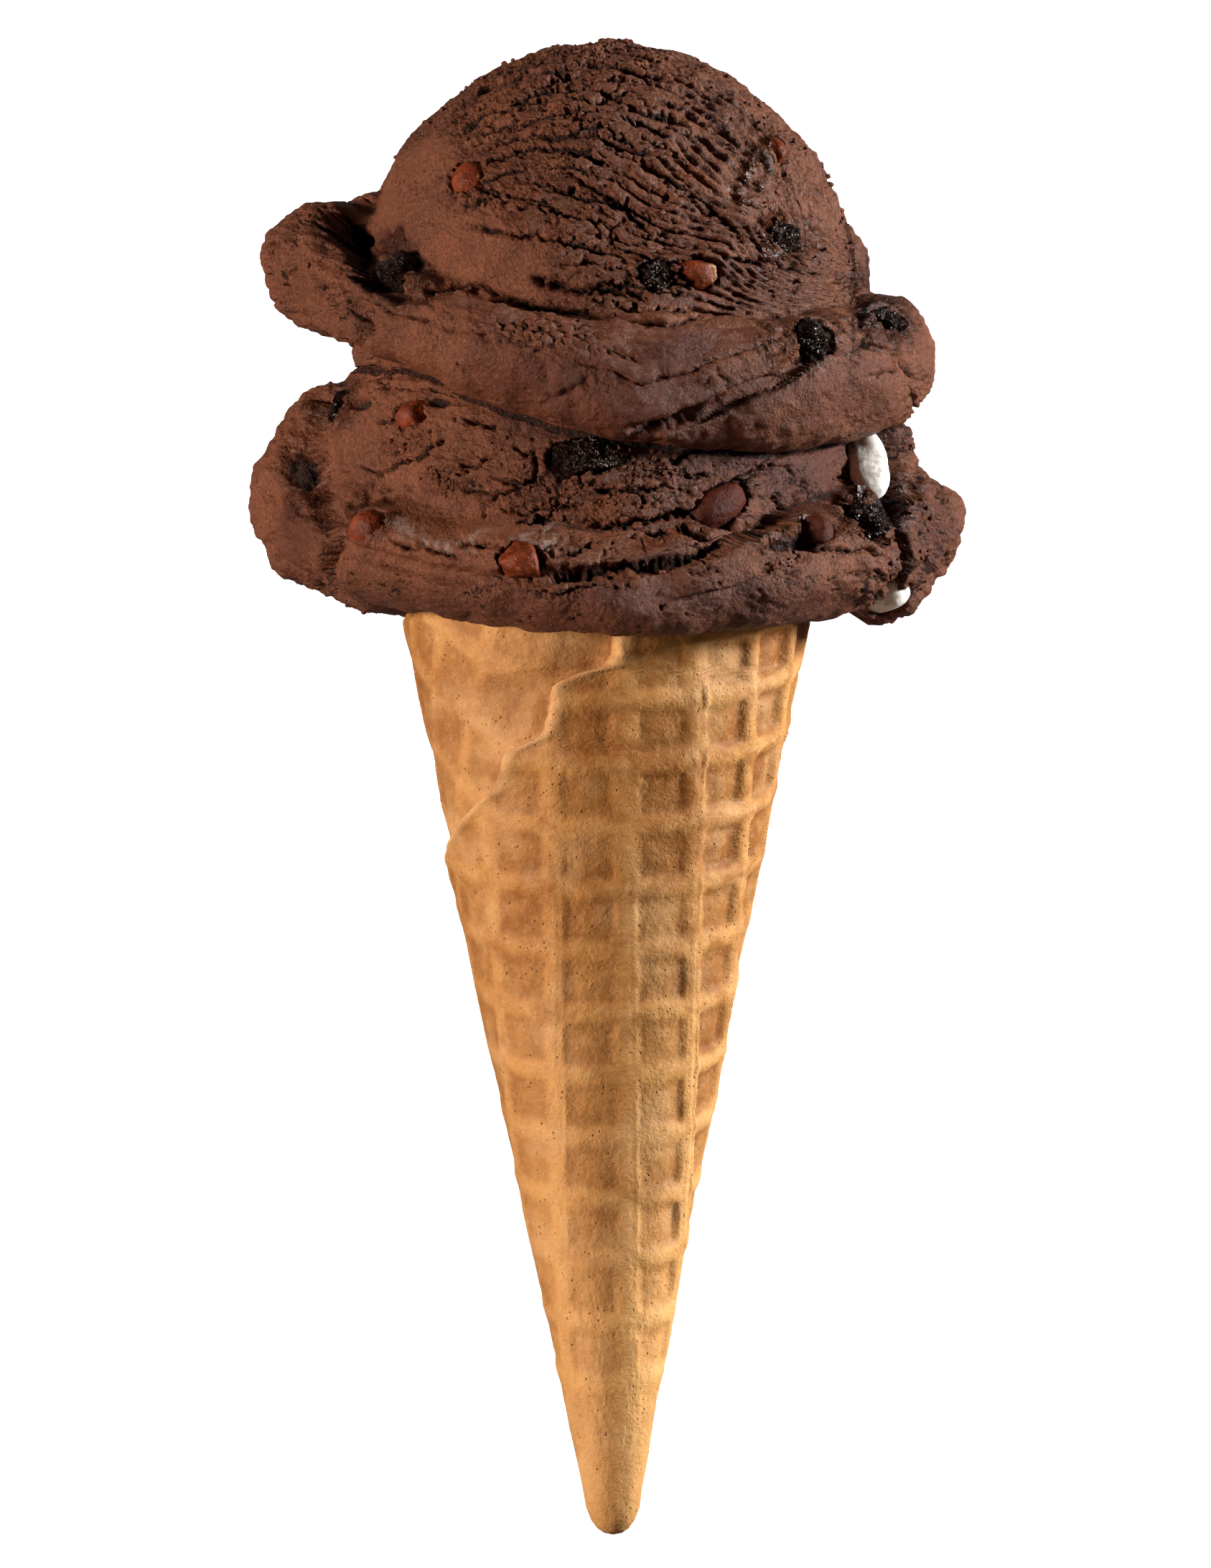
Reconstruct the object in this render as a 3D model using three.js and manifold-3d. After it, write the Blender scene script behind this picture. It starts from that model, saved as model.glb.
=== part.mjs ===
// An ice cream cone lying on its back: two chocolate scoops with nuts, fudge and marshmallow,
// on a rolled waffle cone. Millimetres, +Z up. The tip points to -Y and the shown side faces +Z.
//
// The shape is worked out with the cone's axis at z = 0 and is lifted onto the ground at the end.
// Each scoop is a distance field, made of a dome, a wavy skirt, lobes and creases, and is
// sampled along rays from its heart. The cone is a spiral sheet with waffle cells cut into it.

import * as THREE from "three";
import { mergeVertices } from "three/addons/utils/BufferGeometryUtils.js";
import Module from "manifold-3d";

const wasm = await Module();
wasm.setup();

// ---------------------------------------------------------------- driving dimensions

const GAP = 0.3;              // clearance between touching pieces
const AXIS_HEIGHT = 40.5;     // cone axis above the surface that the part lies on
const DEG = Math.PI / 180;

// How a field's surface is looked for: first distance out, step inwards, and halvings after it.
const RAY = { out: 66, step: 0.7, halvings: 18 };
const DROP = { out: 60, step: 0.5, halvings: 20 };
const GROUND = { wide: 300, deep: 60 };
const OUTLINE_DEEP = 8;       // thickness of the block that trims the flat sheet

const CONE = {
  apexY: -110.7,              // where the straight sides would meet
  slope: 0.2005,              // radius gained per mm along the axis
  rimY: 23.2,
  tipY: -97.4,
  tipRoundY: -92.6,           // the blunt tip starts here
  wall: 2.9,                  // both turns of the rolled sheet
  linerOut: 2.0,              // outside of the inner turn, below the cone's surface
  sheetDeep: 2.45,            // how far the outer turn reaches into the inner one
  sheet: 1.5,                 // step at the free edge of the sheet
  thinSheet: 0.5,             // the step further down, where the sheet was pressed flat
  thinSlants: [92, 114],      // the step grows between these slant distances
  flushSlants: [14, 34],      // and fades out between these
  axisX: -0.42,               // axis at y = 20.8, and its lean
  axisLean: 0.0111,
  axisRefY: 20.8,
  floorY: -70,                // bottom of the hollow
};

// Free edge of the rolled sheet: slant distance from the apex, angle round the axis.
const FREE_EDGE = [
  { slant: 150, angle: -4 },
  { slant: 131, angle: 2 },
  { slant: 127, angle: -15 },
  { slant: 123, angle: -18 },
  { slant: 121, angle: -29 },
  { slant: 115, angle: -39 },
  { slant: 110, angle: -54 },
  { slant: 103, angle: -90 },
  { slant: 82, angle: -136 },
  { slant: 62, angle: -180 },
  { slant: 44, angle: -187 },
  { slant: 10, angle: -200 },
];

const WAFFLE = {
  ribU: 2.6,                  // one rib across the sheet, and the pitch of the others
  pitchU: 9.5,
  ribV: 124.6,                // one rib along the sheet, and the pitch of the others
  pitchV: 8.24,
  floorU: 4.7,                // flat floor of a cell
  depth: 0.8,
  pressed: 0.9,               // share of the depth that every floor has
  uneven: { rib: 0.12, floor: 0.15, place: 0.2 },
  sheetU: [-62, 134],         // the flat sheet's extent before it is trimmed
  sheetV: [4, 150],
  footSlant: 26,              // the pattern ends here, above the tip
};

// Skirt stations go round from the front to the right, one every 45 degrees.
const UPPER = {
  heart: [0, 53, 0],
  dome: { centre: [0, 62.4, -0.5], radii: [33.3, 35.6, 33.4] },
  skirt: [
    { reach: 42.4, height: 53.4, thick: 8.2 },
    { reach: 43.0, height: 53.0, thick: 8.6 },
    { reach: 42.2, height: 56.4, thick: 8.4 },
    { reach: 42.4, height: 59.6, thick: 8.2 },
    { reach: 42.6, height: 62.6, thick: 7.6 },
    { reach: 42.8, height: 66.4, thick: 7.4 },
    { reach: 42.8, height: 68.0, thick: 7.6 },
    { reach: 41.2, height: 60.6, thick: 6.4 },
  ],
  skirtWidth: 8.5,
  lobes: [
    { centre: [-36.4, 68.5, 2], radii: [8.6, 8.5, 13] },
    { centre: [35.4, 56.4, 3], radii: [7.2, 8.4, 13] },
    { centre: [-31.2, 76.4, 1], radii: [2.2, 2.0, 4] },
    { centre: [30.8, 67.5, 2], radii: [3.4, 7, 6] },
  ],
  blend: 1.8,
  under: 40,                  // the dome ends below the skirt
};

const LOWER = {
  heart: [0, 42, 0],
  dome: { centre: [-2.2, 37.6, -0.5], radii: [36.2, 34.8, 36.4] },
  skirt: [
    { reach: 43.0, height: 26.6, thick: 7.2 },
    { reach: 43.4, height: 29.2, thick: 7.4 },
    { reach: 44.0, height: 33.8, thick: 8.6 },
    { reach: 43.6, height: 31.0, thick: 8.6 },
    { reach: 43.8, height: 30.0, thick: 8.4 },
    { reach: 43.4, height: 32.0, thick: 8.8 },
    { reach: 44.6, height: 37.0, thick: 10.2 },
    { reach: 42.4, height: 30.6, thick: 7.6 },
  ],
  skirtWidth: 10,
  lobes: [
    { centre: [-36.6, 37.6, 2], radii: [9.8, 11.2, 13] },
    { centre: [38.2, 35.2, 3], radii: [8.6, 8.8, 12] },
    { centre: [-36.8, 47.2, 2], radii: [5.2, 5.6, 6] },
    { centre: [36.2, 27.0, 4], radii: [5.6, 5.0, 8] },
  ],
  blend: 2.2,
  under: 24,
  hem: { radius: 28.3, y: 25, fall: 0.55 },         // underside, from the cone's rim outwards
  seat: { top: 57.5, lean: -0.15, drop: 0.0055 },   // where the upper scoop was pressed on
  tornBit: { centre: [36.6, 44.2, 4], radii: [3.4, 4.4, 5] },   // stands up past the seat
  plugDepth: 14,                                    // how far it fills the cone's mouth
};

// Creases between folds, on the shown side: points across the front, half width.
const UPPER_CREASES = [
  { path: [[-32, 63], [-30.5, 60], [-30.5, 56]], half: 1.2 },
  { path: [[4, 46.3], [14, 49], [21, 52.5], [26.5, 56.5]], half: 1.2 },
  { path: [[-24, 64.4], [-16, 64.6], [-8, 62.4], [0, 61.2], [8, 60.4], [15, 61.4]], half: 1.6 },
  { path: [[-34.0, 74.6], [-32.2, 71.6], [-29.6, 67.4], [-26.5, 64.6]], half: 2.0 },
  { path: [[31, 66.5], [31.5, 61.5], [35, 60]], half: 1.4 },
];
const LOWER_CREASES = [
  { path: [[-36.6, 51], [-37.0, 44], [-36.4, 39], [-34.2, 33], [-35, 27]], half: 1.6 },
  { path: [[-33, 31], [-24, 28.4], [-16, 26.8], [-6, 28], [4, 29], [14, 31.4], [22, 35]], half: 1.2 },
  { path: [[30, 37.5], [34, 34.6], [38.4, 32.6], [38.2, 27], [36.6, 23.4]], half: 1.4 },
];

// Pieces in the scoops: place across the front, size (across, along, deep) and turn in degrees.
// An upright piece leans less than the surface under it.
const FRONT = 1;
const BACK = -1;
const PIECES = [
  { name: "nut_1", in: "upper", at: [-18.0, 79.4], size: [5.2, 5.2, 4.6], turn: 20, side: FRONT },
  { name: "nut_2", in: "upper", at: [22.2, 83.0], size: [3.6, 4.4, 3.6], turn: -20, side: FRONT },
  { name: "nut_3", in: "upper", at: [11.9, 66.9], size: [5.8, 4.4, 4.6], turn: 8, side: FRONT },
  { name: "fudge_1", in: "upper", at: [6.2, 66.7], size: [4.0, 4.4, 3.6], turn: 0, side: FRONT },
  { name: "fudge_2", in: "upper", at: [23.0, 71.8], size: [6.2, 4.4, 4.4], turn: -10, side: FRONT },
  { name: "fudge_3", in: "upper", at: [-27.6, 67.0], size: [7.6, 6.2, 6.0], turn: -35, side: FRONT },
  { name: "fudge_4", in: "upper", at: [26.7, 58.4], size: [5.4, 6.4, 5.2], turn: -15, side: FRONT },
  { name: "fudge_5", in: "upper", at: [36.6, 61.0], size: [4.6, 5.4, 5.0], turn: 10, side: FRONT },
  { name: "nut_4", in: "lower", at: [-25.3, 48.8], size: [6.2, 3.8, 4.0], turn: -5, side: FRONT },
  { name: "fudge_6", in: "lower", at: [-34.6, 50.0], size: [2.6, 5.4, 4.4], turn: -8, side: FRONT },
  { name: "fudge_7", in: "lower", at: [-2.9, 43.2], size: [9.6, 4.8, 4.4], turn: 4, side: FRONT },
  { name: "nut_5", in: "lower", at: [14.8, 36.8], size: [8.8, 5.2, 5.0], turn: 28, side: FRONT },
  { name: "nut_6", in: "lower", at: [-31.2, 34.4], size: [5.6, 4.6, 4.6], turn: 5, side: FRONT },
  { name: "nut_7", in: "lower", at: [-11.0, 29.7], size: [6.2, 4.6, 4.6], turn: -15, side: FRONT },
  { name: "marshmallow_1", in: "lower", at: [34.2, 41.6], size: [5.2, 12.4, 4.4], turn: 8, side: FRONT,
    upright: 0.35, sunk: -0.24 },
  { name: "fudge_8", in: "lower", at: [34.2, 34.6], size: [5.4, 4.8, 5.0], turn: -25, side: FRONT },
  { name: "nut_8", in: "lower", at: [27.2, 33.9], size: [4.4, 4.6, 4.4], turn: 30, side: FRONT },
  { name: "marshmallow_2", in: "lower", at: [36.6, 25.2], size: [6.4, 4.4, 5.0], turn: 32, side: FRONT },
  { name: "nut_9", in: "upper", at: [12.0, 78.0], size: [5.4, 4.6, 4.6], turn: 30, side: BACK },
  { name: "fudge_9", in: "upper", at: [-14.0, 70.0], size: [6.6, 4.6, 4.6], turn: -20, side: BACK },
  { name: "nut_10", in: "lower", at: [-20.0, 43.0], size: [6.0, 4.4, 4.6], turn: 10, side: BACK },
  { name: "marshmallow_3", in: "lower", at: [20.0, 40.0], size: [6.4, 4.8, 4.6], turn: -30, side: BACK },
];
const SUNK = 0.22;            // centre below the surface, against the piece's depth

const COLOURS = {
  waffle: { color: 0xc08a52, roughness: 0.8 },
  chocolate: { color: 0x5a3222, roughness: 0.65 },
  nut: { color: 0x6e2c18, roughness: 0.4 },
  fudge: { color: 0x1c0d08, roughness: 0.2 },
  marshmallow: { color: 0xcfc0b0, roughness: 0.6 },
};

// ---------------------------------------------------------------- fields

const clamp = (value, low, high) => Math.min(Math.max(value, low), high);
const mix = (a, b, share) => a + (b - a) * share;

function smoothMin(a, b, k) {
  const h = Math.max(k - Math.abs(a - b), 0) / k;
  return Math.min(a, b) - h * h * k / 4;
}

const smoothMax = (a, b, k) => -smoothMin(-a, -b, k);

function ellipsoid(p, { centre, radii }) {
  const q = p.map((value, axis) => (value - centre[axis]) / radii[axis]);
  const near = Math.hypot(...q);
  const steep = Math.hypot(q[0] / radii[0], q[1] / radii[1], q[2] / radii[2]);
  return near * (near - 1) / Math.max(steep, 1e-6);
}

// A value that runs smoothly round the stations, at an angle in degrees.
function around(stations, key, angle) {
  const place = ((angle / 360) % 1 + 1) % 1 * stations.length;
  const index = Math.floor(place);
  const t = place - index;
  const at = (step) => stations[(index + step + stations.length) % stations.length][key];
  const [a, b, c, d] = [at(-1), at(0), at(1), at(2)];
  return b + t * (c - a + t * (2 * a - 5 * b + 4 * c - d + t * (3 * (b - c) + d - a))) / 2;
}

// The skirt is a ring of elliptic section, whose reach, height and thickness change as it goes round.
function skirt([x, y, z], { skirt: stations, skirtWidth }) {
  const angle = Math.atan2(x, z) / DEG;
  const thick = around(stations, "thick", angle);
  const out = Math.hypot(x, z) - around(stations, "reach", angle) + skirtWidth;
  const up = y - around(stations, "height", angle);
  const near = Math.hypot(out / skirtWidth, up / thick);
  const steep = Math.hypot(out / skirtWidth ** 2, up / thick ** 2);
  return near * (near - 1) / Math.max(steep, 1e-6);
}

// The slow unevenness of scooped ice cream, the same at every place for the same point.
function swell([x, y, z]) {
  const broad = Math.sin(0.19 * x + 1.3) * Math.sin(0.23 * y + 0.4) * Math.sin(0.21 * z + 2.2);
  const fine = Math.sin(0.47 * x + 0.31 * z + 0.8) * Math.sin(0.52 * y - 0.22 * x + 1.9);
  return 0.6 * broad + 0.3 * fine;
}

function segmentDistance(p, a, b) {
  const along = b.map((value, axis) => value - a[axis]);
  const from = p.map((value, axis) => value - a[axis]);
  const length = along.reduce((sum, value) => sum + value * value, 0);
  const share = clamp(from.reduce((sum, value, axis) => sum + value * along[axis], 0) / length, 0, 1);
  return Math.hypot(...from.map((value, axis) => value - share * along[axis]));
}

function body(p, scoop) {
  const { lobes, blend } = scoop;
  const side = lobes.reduce((d, lobe) => smoothMin(d, ellipsoid(p, lobe), blend), skirt(p, scoop));
  const dome = smoothMax(ellipsoid(p, scoop.dome), scoop.under - p[1], 3);
  return smoothMin(dome, side, blend) - swell(p);
}

const coneRadius = (y) => {
  const straight = CONE.slope * (y - CONE.apexY);
  if (y >= CONE.tipRoundY) return straight;
  const share = (CONE.tipRoundY - y) / (CONE.tipRoundY - CONE.tipY);
  return CONE.slope * (CONE.tipRoundY - CONE.apexY) * Math.sqrt(Math.max(1 - share * share, 0));
};

const coneAxisX = (y) => CONE.axisX + CONE.axisLean * (CONE.axisRefY - y);

function plug([x, y, z]) {
  const inside = Math.hypot(x - coneAxisX(y), z) - coneRadius(y) + CONE.wall + 2 * GAP;
  return smoothMax(smoothMax(inside, CONE.rimY - LOWER.plugDepth - y, 3), y - LOWER.heart[1], 3);
}

function hem([x, y, z]) {
  return LOWER.hem.y - LOWER.hem.fall * (Math.hypot(x, z) - LOWER.hem.radius) - y;
}

function seat([x, y, z]) {
  return y - LOWER.seat.top - LOWER.seat.lean * x + LOWER.seat.drop * (x * x + z * z);
}

function withCreases(p, d, creases) {
  return creases.reduce((value, { points, half }) => {
    const steps = points.slice(1).map((point, index) => segmentDistance(p, points[index], point));
    return smoothMax(value, half - Math.min(...steps), 1);
  }, d);
}

// Distance along Z to the field's surface, from the shown side or from behind.
function surfaceZ(field, x, y, side) {
  let inside = DROP.out * side;
  while (field([x, y, inside]) > 0 && inside * side > 0) inside -= DROP.step * side;
  let outside = inside + DROP.step * side;
  for (let step = 0; step < DROP.halvings; step += 1) {
    const middle = (inside + outside) / 2;
    if (field([x, y, middle]) > 0) outside = middle;
    else inside = middle;
  }
  return inside;
}

const placed = (field, creases) => creases.map(({ path, half }) => (
  { half, points: path.map(([x, y]) => [x, y, surfaceZ(field, x, y, FRONT)]) }
));

const upperPlain = (p) => body(p, UPPER);
const lowerPlain = (p) => {
  const pressed = smoothMax(Math.max(body(p, LOWER), hem(p)), seat(p), 4);
  return Math.min(smoothMin(pressed, ellipsoid(p, LOWER.tornBit), LOWER.blend), plug(p));
};
const upperCreases = placed(upperPlain, UPPER_CREASES);
const lowerCreases = placed(lowerPlain, LOWER_CREASES);
const upperField = (p) => withCreases(p, upperPlain(p), upperCreases);
const lowerField = (p) => withCreases(p, lowerPlain(p), lowerCreases);

// ---------------------------------------------------------------- solids

function solid(positions, triangles) {
  const vertProperties = Float32Array.from(positions.flat());
  const triVerts = Uint32Array.from(triangles.flat());
  return new wasm.Manifold(new wasm.Mesh({ numProp: 3, vertProperties, triVerts }));
}

function solidOf(geometry) {
  geometry.deleteAttribute("normal");
  geometry.deleteAttribute("uv");
  const merged = mergeVertices(geometry);
  const vertProperties = new Float32Array(merged.attributes.position.array);
  const triVerts = new Uint32Array(merged.index.array);
  return new wasm.Manifold(new wasm.Mesh({ numProp: 3, vertProperties, triVerts }));
}

// Elevations of the sampling rays, from the top of the dome to the underside.
function elevations(spans) {
  return spans.flatMap(({ from, to, rows }) => (
    Array.from({ length: rows }, (_, row) => mix(from, to, row / rows) * DEG)
  ));
}

function distanceAlong(field, heart, way, level) {
  let far = RAY.out;
  const at = (reach) => field(heart.map((value, axis) => value + way[axis] * reach)) - level;
  while (at(far) > 0) far -= RAY.step;
  let [inside, outside] = [far, far + RAY.step];
  for (let step = 0; step < RAY.halvings; step += 1) {
    const middle = (inside + outside) / 2;
    if (at(middle) > 0) outside = middle;
    else inside = middle;
  }
  return inside;
}

// A closed mesh of the field: a ring of points for each elevation and a point at each pole.
function sampled(field, heart, rings, columns, level) {
  const point = (elevation, azimuth) => {
    const flat = Math.cos(elevation);
    const way = [flat * Math.sin(azimuth), Math.sin(elevation), flat * Math.cos(azimuth)];
    const reach = distanceAlong(field, heart, way, level);
    return heart.map((value, axis) => value + way[axis] * reach);
  };
  const id = (ring, column) => 1 + ring * columns + column % columns;
  const positions = [point(Math.PI / 2, 0)];
  const triangles = [];
  const last = 1 + rings.length * columns;
  rings.forEach((elevation, ring) => {
    for (let column = 0; column < columns; column += 1) {
      positions.push(point(elevation, 2 * Math.PI * column / columns));
      const [low, lowNext] = [id(ring, column), id(ring, column + 1)];
      if (ring === 0) triangles.push([0, low, lowNext]);
      else {
        const [high, highNext] = [id(ring - 1, column), id(ring - 1, column + 1)];
        triangles.push([high, low, lowNext], [high, lowNext, highNext]);
      }
      if (ring === rings.length - 1) triangles.push([last, lowNext, low]);
    }
  });
  positions.push(point(-Math.PI / 2, 0));
  return solid(positions, triangles);
}

// ---------------------------------------------------------------- cone

const coneAngle = Math.atan(CONE.slope);
const slantOf = (y) => (y - CONE.apexY) / Math.cos(coneAngle);
const yOf = (slant) => CONE.apexY + slant * Math.cos(coneAngle);

// Angle of the free edge at a slant distance from the apex, in degrees.
function edgeAngle(slant) {
  const below = FREE_EDGE.findIndex((point) => point.slant <= slant);
  const [low, high] = [FREE_EDGE[below], FREE_EDGE[below - 1]];
  return mix(low.angle, high.angle, (slant - low.slant) / (high.slant - low.slant));
}

// The sheet winds inwards from its free edge by one thickness in a turn.
function sheetLift(slant, turned) {
  const share = ([low, high]) => clamp((slant - low) / (high - low), 0, 1);
  const thick = mix(CONE.thinSheet, CONE.sheet, share(CONE.thinSlants));
  return thick * share(CONE.flushSlants) * (0.5 - turned);
}

// A point of the flat sheet, and its height, wound round the cone.
function wound([u, v, height]) {
  const slant = Math.hypot(u, v);
  const angle = Math.atan2(u, v) / Math.sin(coneAngle);
  const y = yOf(slant);
  const turned = (angle / DEG - edgeAngle(slant)) / 360;
  const radius = coneRadius(y) + sheetLift(slant, turned) * (1 + height / CONE.sheetDeep) + height;
  return [coneAxisX(y) + radius * Math.sin(angle), y, radius * Math.cos(angle)];
}

// A point of the flat sheet, from its slant distance and its angle round the cone.
function onSheet(slant, degrees) {
  const angle = degrees * DEG * Math.sin(coneAngle);
  return new THREE.Vector2(slant * Math.sin(angle), slant * Math.cos(angle));
}

// A seeded draw between -1 and 1.
function draws(seed) {
  let state = seed;
  return () => {
    state = (state + 0x6d2b79f5) | 0;
    let t = Math.imul(state ^ (state >>> 15), 1 | state);
    t = (t + Math.imul(t ^ (t >>> 7), 61 | t)) ^ t;
    return ((t ^ (t >>> 14)) >>> 0) / 2147483648 - 1;
  };
}

// Grid lines of the waffle pattern: one along each rib, and others on each cell's floor.
function gridLines(rib, pitch, floorPlaces, [low, high]) {
  const lines = [];
  for (let at = rib - Math.ceil((rib - low) / pitch) * pitch; at < high; at += pitch) {
    lines.push({ at, rib: true });
    floorPlaces.forEach((place) => lines.push({ at: at + pitch / 2 + place, rib: false }));
  }
  return lines;
}

// The flat waffle sheet before it is wound: a grid with a top and a bottom.
function flatSheet() {
  const draw = draws(11);
  const { depth, pressed, uneven, floorU } = WAFFLE;
  const across = gridLines(WAFFLE.ribU, WAFFLE.pitchU, [-floorU / 2, floorU / 2], WAFFLE.sheetU);
  const along = gridLines(WAFFLE.ribV, WAFFLE.pitchV, [0], WAFFLE.sheetV);
  const positions = [];
  across.forEach((columnLine) => along.forEach((rowLine) => {
    const onRib = columnLine.rib || rowLine.rib;
    const top = onRib ? uneven.rib * draw() : -depth * (pressed + uneven.floor * draw());
    const place = [columnLine.at + uneven.place * draw(), rowLine.at + uneven.place * draw()];
    positions.push([...place, top], [...place, -CONE.sheetDeep]);
  }));
  const id = (column, row, under) => 2 * (column * along.length + row) + under;
  const triangles = [];
  const quad = (a, b, c, d) => triangles.push([a, b, c], [a, c, d]);
  const [columns, rows] = [across.length - 1, along.length - 1];
  for (let i = 0; i < columns; i += 1) {
    for (let j = 0; j < rows; j += 1) {
      quad(id(i, j, 0), id(i + 1, j, 0), id(i + 1, j + 1, 0), id(i, j + 1, 0));
      quad(id(i, j + 1, 1), id(i + 1, j + 1, 1), id(i + 1, j, 1), id(i, j, 1));
    }
    quad(id(i, 0, 1), id(i + 1, 0, 1), id(i + 1, 0, 0), id(i, 0, 0));
    quad(id(i, rows, 0), id(i + 1, rows, 0), id(i + 1, rows, 1), id(i, rows, 1));
  }
  for (let j = 0; j < rows; j += 1) {
    quad(id(0, j + 1, 1), id(0, j, 1), id(0, j, 0), id(0, j + 1, 0));
    quad(id(columns, j, 1), id(columns, j + 1, 1), id(columns, j + 1, 0), id(columns, j, 0));
  }
  return solid(positions, triangles);
}

// Outline of the sheet while it is flat: rim, free edge, foot and inner end.
function sheetOutline() {
  const rim = slantOf(CONE.rimY);
  const foot = WAFFLE.footSlant;
  const between = FREE_EDGE.map(({ slant }) => slant).filter((slant) => slant < rim && slant > foot);
  const slants = [rim, ...between, foot];
  const slit = (slant) => GAP / (slant * Math.sin(coneAngle)) / DEG;
  const freeEdge = slants.map((slant) => onSheet(slant, edgeAngle(slant)));
  const innerEnd = slants.map((slant) => onSheet(slant, edgeAngle(slant) + 360 - slit(slant)));
  const arc = (slant, steps) => Array.from({ length: steps - 1 }, (_, step) => (
    onSheet(slant, edgeAngle(slant) + 360 * (step + 1) / steps)
  ));
  return [...freeEdge, ...arc(foot, 12), ...innerEnd.reverse(), ...arc(rim, 30).reverse()];
}

function windSheet() {
  const shape = new THREE.Shape(sheetOutline());
  const outline = new THREE.ExtrudeGeometry(shape, { depth: OUTLINE_DEEP, bevelEnabled: false });
  outline.translate(0, 0, -OUTLINE_DEEP / 2);
  const { vertProperties, triVerts } = flatSheet().intersect(solidOf(outline)).getMesh();
  const positions = [];
  for (let start = 0; start < vertProperties.length; start += 3) {
    positions.push(wound(vertProperties.subarray(start, start + 3)));
  }
  return new wasm.Manifold(new wasm.Mesh({
    numProp: 3, vertProperties: Float32Array.from(positions.flat()), triVerts,
  }));
}

// A turned body on the cone's leaning axis, from (radius, y) points.
function turnedBody(profile, segments) {
  const lathe = new THREE.LatheGeometry(profile.map(([radius, y]) => new THREE.Vector2(radius, y)), segments);
  const points = lathe.attributes.position;
  for (let index = 0; index < points.count; index += 1) {
    points.setX(index, points.getX(index) + coneAxisX(points.getY(index)));
  }
  return solidOf(lathe);
}

// The inner turn of the sheet: it backs the outer one and closes the tip.
function liner() {
  const back = (y) => [coneRadius(y) - CONE.linerOut, y];
  const tip = [0, 0.25, 0.6, 1].map((share) => {
    const y = mix(CONE.tipY, CONE.tipRoundY, share);
    return [coneRadius(y), y];
  });
  const footY = yOf(WAFFLE.footSlant);
  const hollow = (y) => [coneRadius(y) - CONE.wall, y];
  return turnedBody([
    ...tip, [coneRadius(footY - 1), footY - 1], [coneRadius(footY + 0.5) - 0.4, footY + 0.5],
    back(footY + 4), back(CONE.rimY - 0.2), hollow(CONE.rimY - 0.2), hollow(CONE.floorY), [0, CONE.floorY],
  ], 28);
}

// ---------------------------------------------------------------- pieces in the scoops

function normalAt(field, p) {
  const step = 0.6;
  const slope = [0, 1, 2].map((axis) => {
    const [ahead, behind] = [[...p], [...p]];
    ahead[axis] += step;
    behind[axis] -= step;
    return field(ahead) - field(behind);
  });
  return new THREE.Vector3(...slope).normalize();
}

// A lumpy pebble, flat-sided for fudge and smooth for the rest.
function pebble(name, size, grow) {
  const geometry = new THREE.IcosahedronGeometry(1, 1);
  const points = geometry.attributes.position;
  const seed = [...name].reduce((sum, letter) => sum + letter.charCodeAt(0), 0);
  const angular = name.startsWith("fudge") ? 0.16 : 0.07;
  const point = new THREE.Vector3();
  for (let index = 0; index < points.count; index += 1) {
    point.fromBufferAttribute(points, index).normalize();
    const lump = Math.sin(3 * point.x + seed) * Math.sin(3.4 * point.y + 2 * seed) * Math.cos(2.6 * point.z);
    point.multiplyScalar(1 + angular * lump);
    point.multiply(new THREE.Vector3(...size.map((width) => width / 2 + grow)));
    points.setXYZ(index, point.x, point.y, point.z);
  }
  return geometry;
}

function pieceFrame({ in: where, at: [x, y], size, turn, side, upright = 0, sunk = SUNK }) {
  const field = where === "upper" ? upperField : lowerField;
  const surface = [x, y, surfaceZ(field, x, y, side)];
  const normal = normalAt(field, surface);
  normal.z += upright * side;
  normal.normalize();
  const spin = new THREE.Quaternion().setFromAxisAngle(new THREE.Vector3(0, 0, 1), turn * DEG);
  const tilt = new THREE.Quaternion().setFromUnitVectors(new THREE.Vector3(0, 0, side), normal);
  return {
    position: new THREE.Vector3(...surface).addScaledVector(normal, -sunk * size[2]),
    quaternion: tilt.multiply(spin),
  };
}

const unit = new THREE.Vector3(1, 1, 1);

function pebbleSolid(piece, grow) {
  const { position, quaternion } = pieceFrame(piece);
  const geometry = pebble(piece.name, piece.size, grow);
  geometry.applyMatrix4(new THREE.Matrix4().compose(position, quaternion, unit));
  return solidOf(geometry);
}

// ---------------------------------------------------------------- assembly

function groundCut() {
  const box = new THREE.BoxGeometry(GROUND.wide, GROUND.wide, GROUND.deep);
  box.translate(0, 0, -AXIS_HEIGHT - GROUND.deep / 2);
  return solidOf(box);
}

function meshOf(name, shape, look) {
  const { vertProperties, triVerts } = shape.getMesh();
  const geometry = new THREE.BufferGeometry();
  geometry.setAttribute("position", new THREE.BufferAttribute(vertProperties, 3));
  geometry.setIndex(new THREE.BufferAttribute(triVerts, 1));
  const mesh = new THREE.Mesh(geometry, new THREE.MeshStandardMaterial(look));
  mesh.name = name;
  return mesh;
}

const UPPER_RINGS = elevations([
  { from: 83, to: 30, rows: 9 },
  { from: 30, to: -18, rows: 16 },
  { from: -18, to: -80, rows: 3 },
]);
const LOWER_RINGS = elevations([
  { from: 72, to: 24, rows: 4 },
  { from: 24, to: -30, rows: 17 },
  { from: -30, to: -40, rows: 2 },
  { from: -40, to: -75, rows: 3 },
]);
const COLUMNS = 44;

const ground = groundCut();
const pockets = PIECES.map((piece) => pebbleSolid(piece, 1.3 * GAP));
const cutPockets = (shape) => pockets.reduce((rest, pocket) => rest.subtract(pocket), shape);

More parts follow.
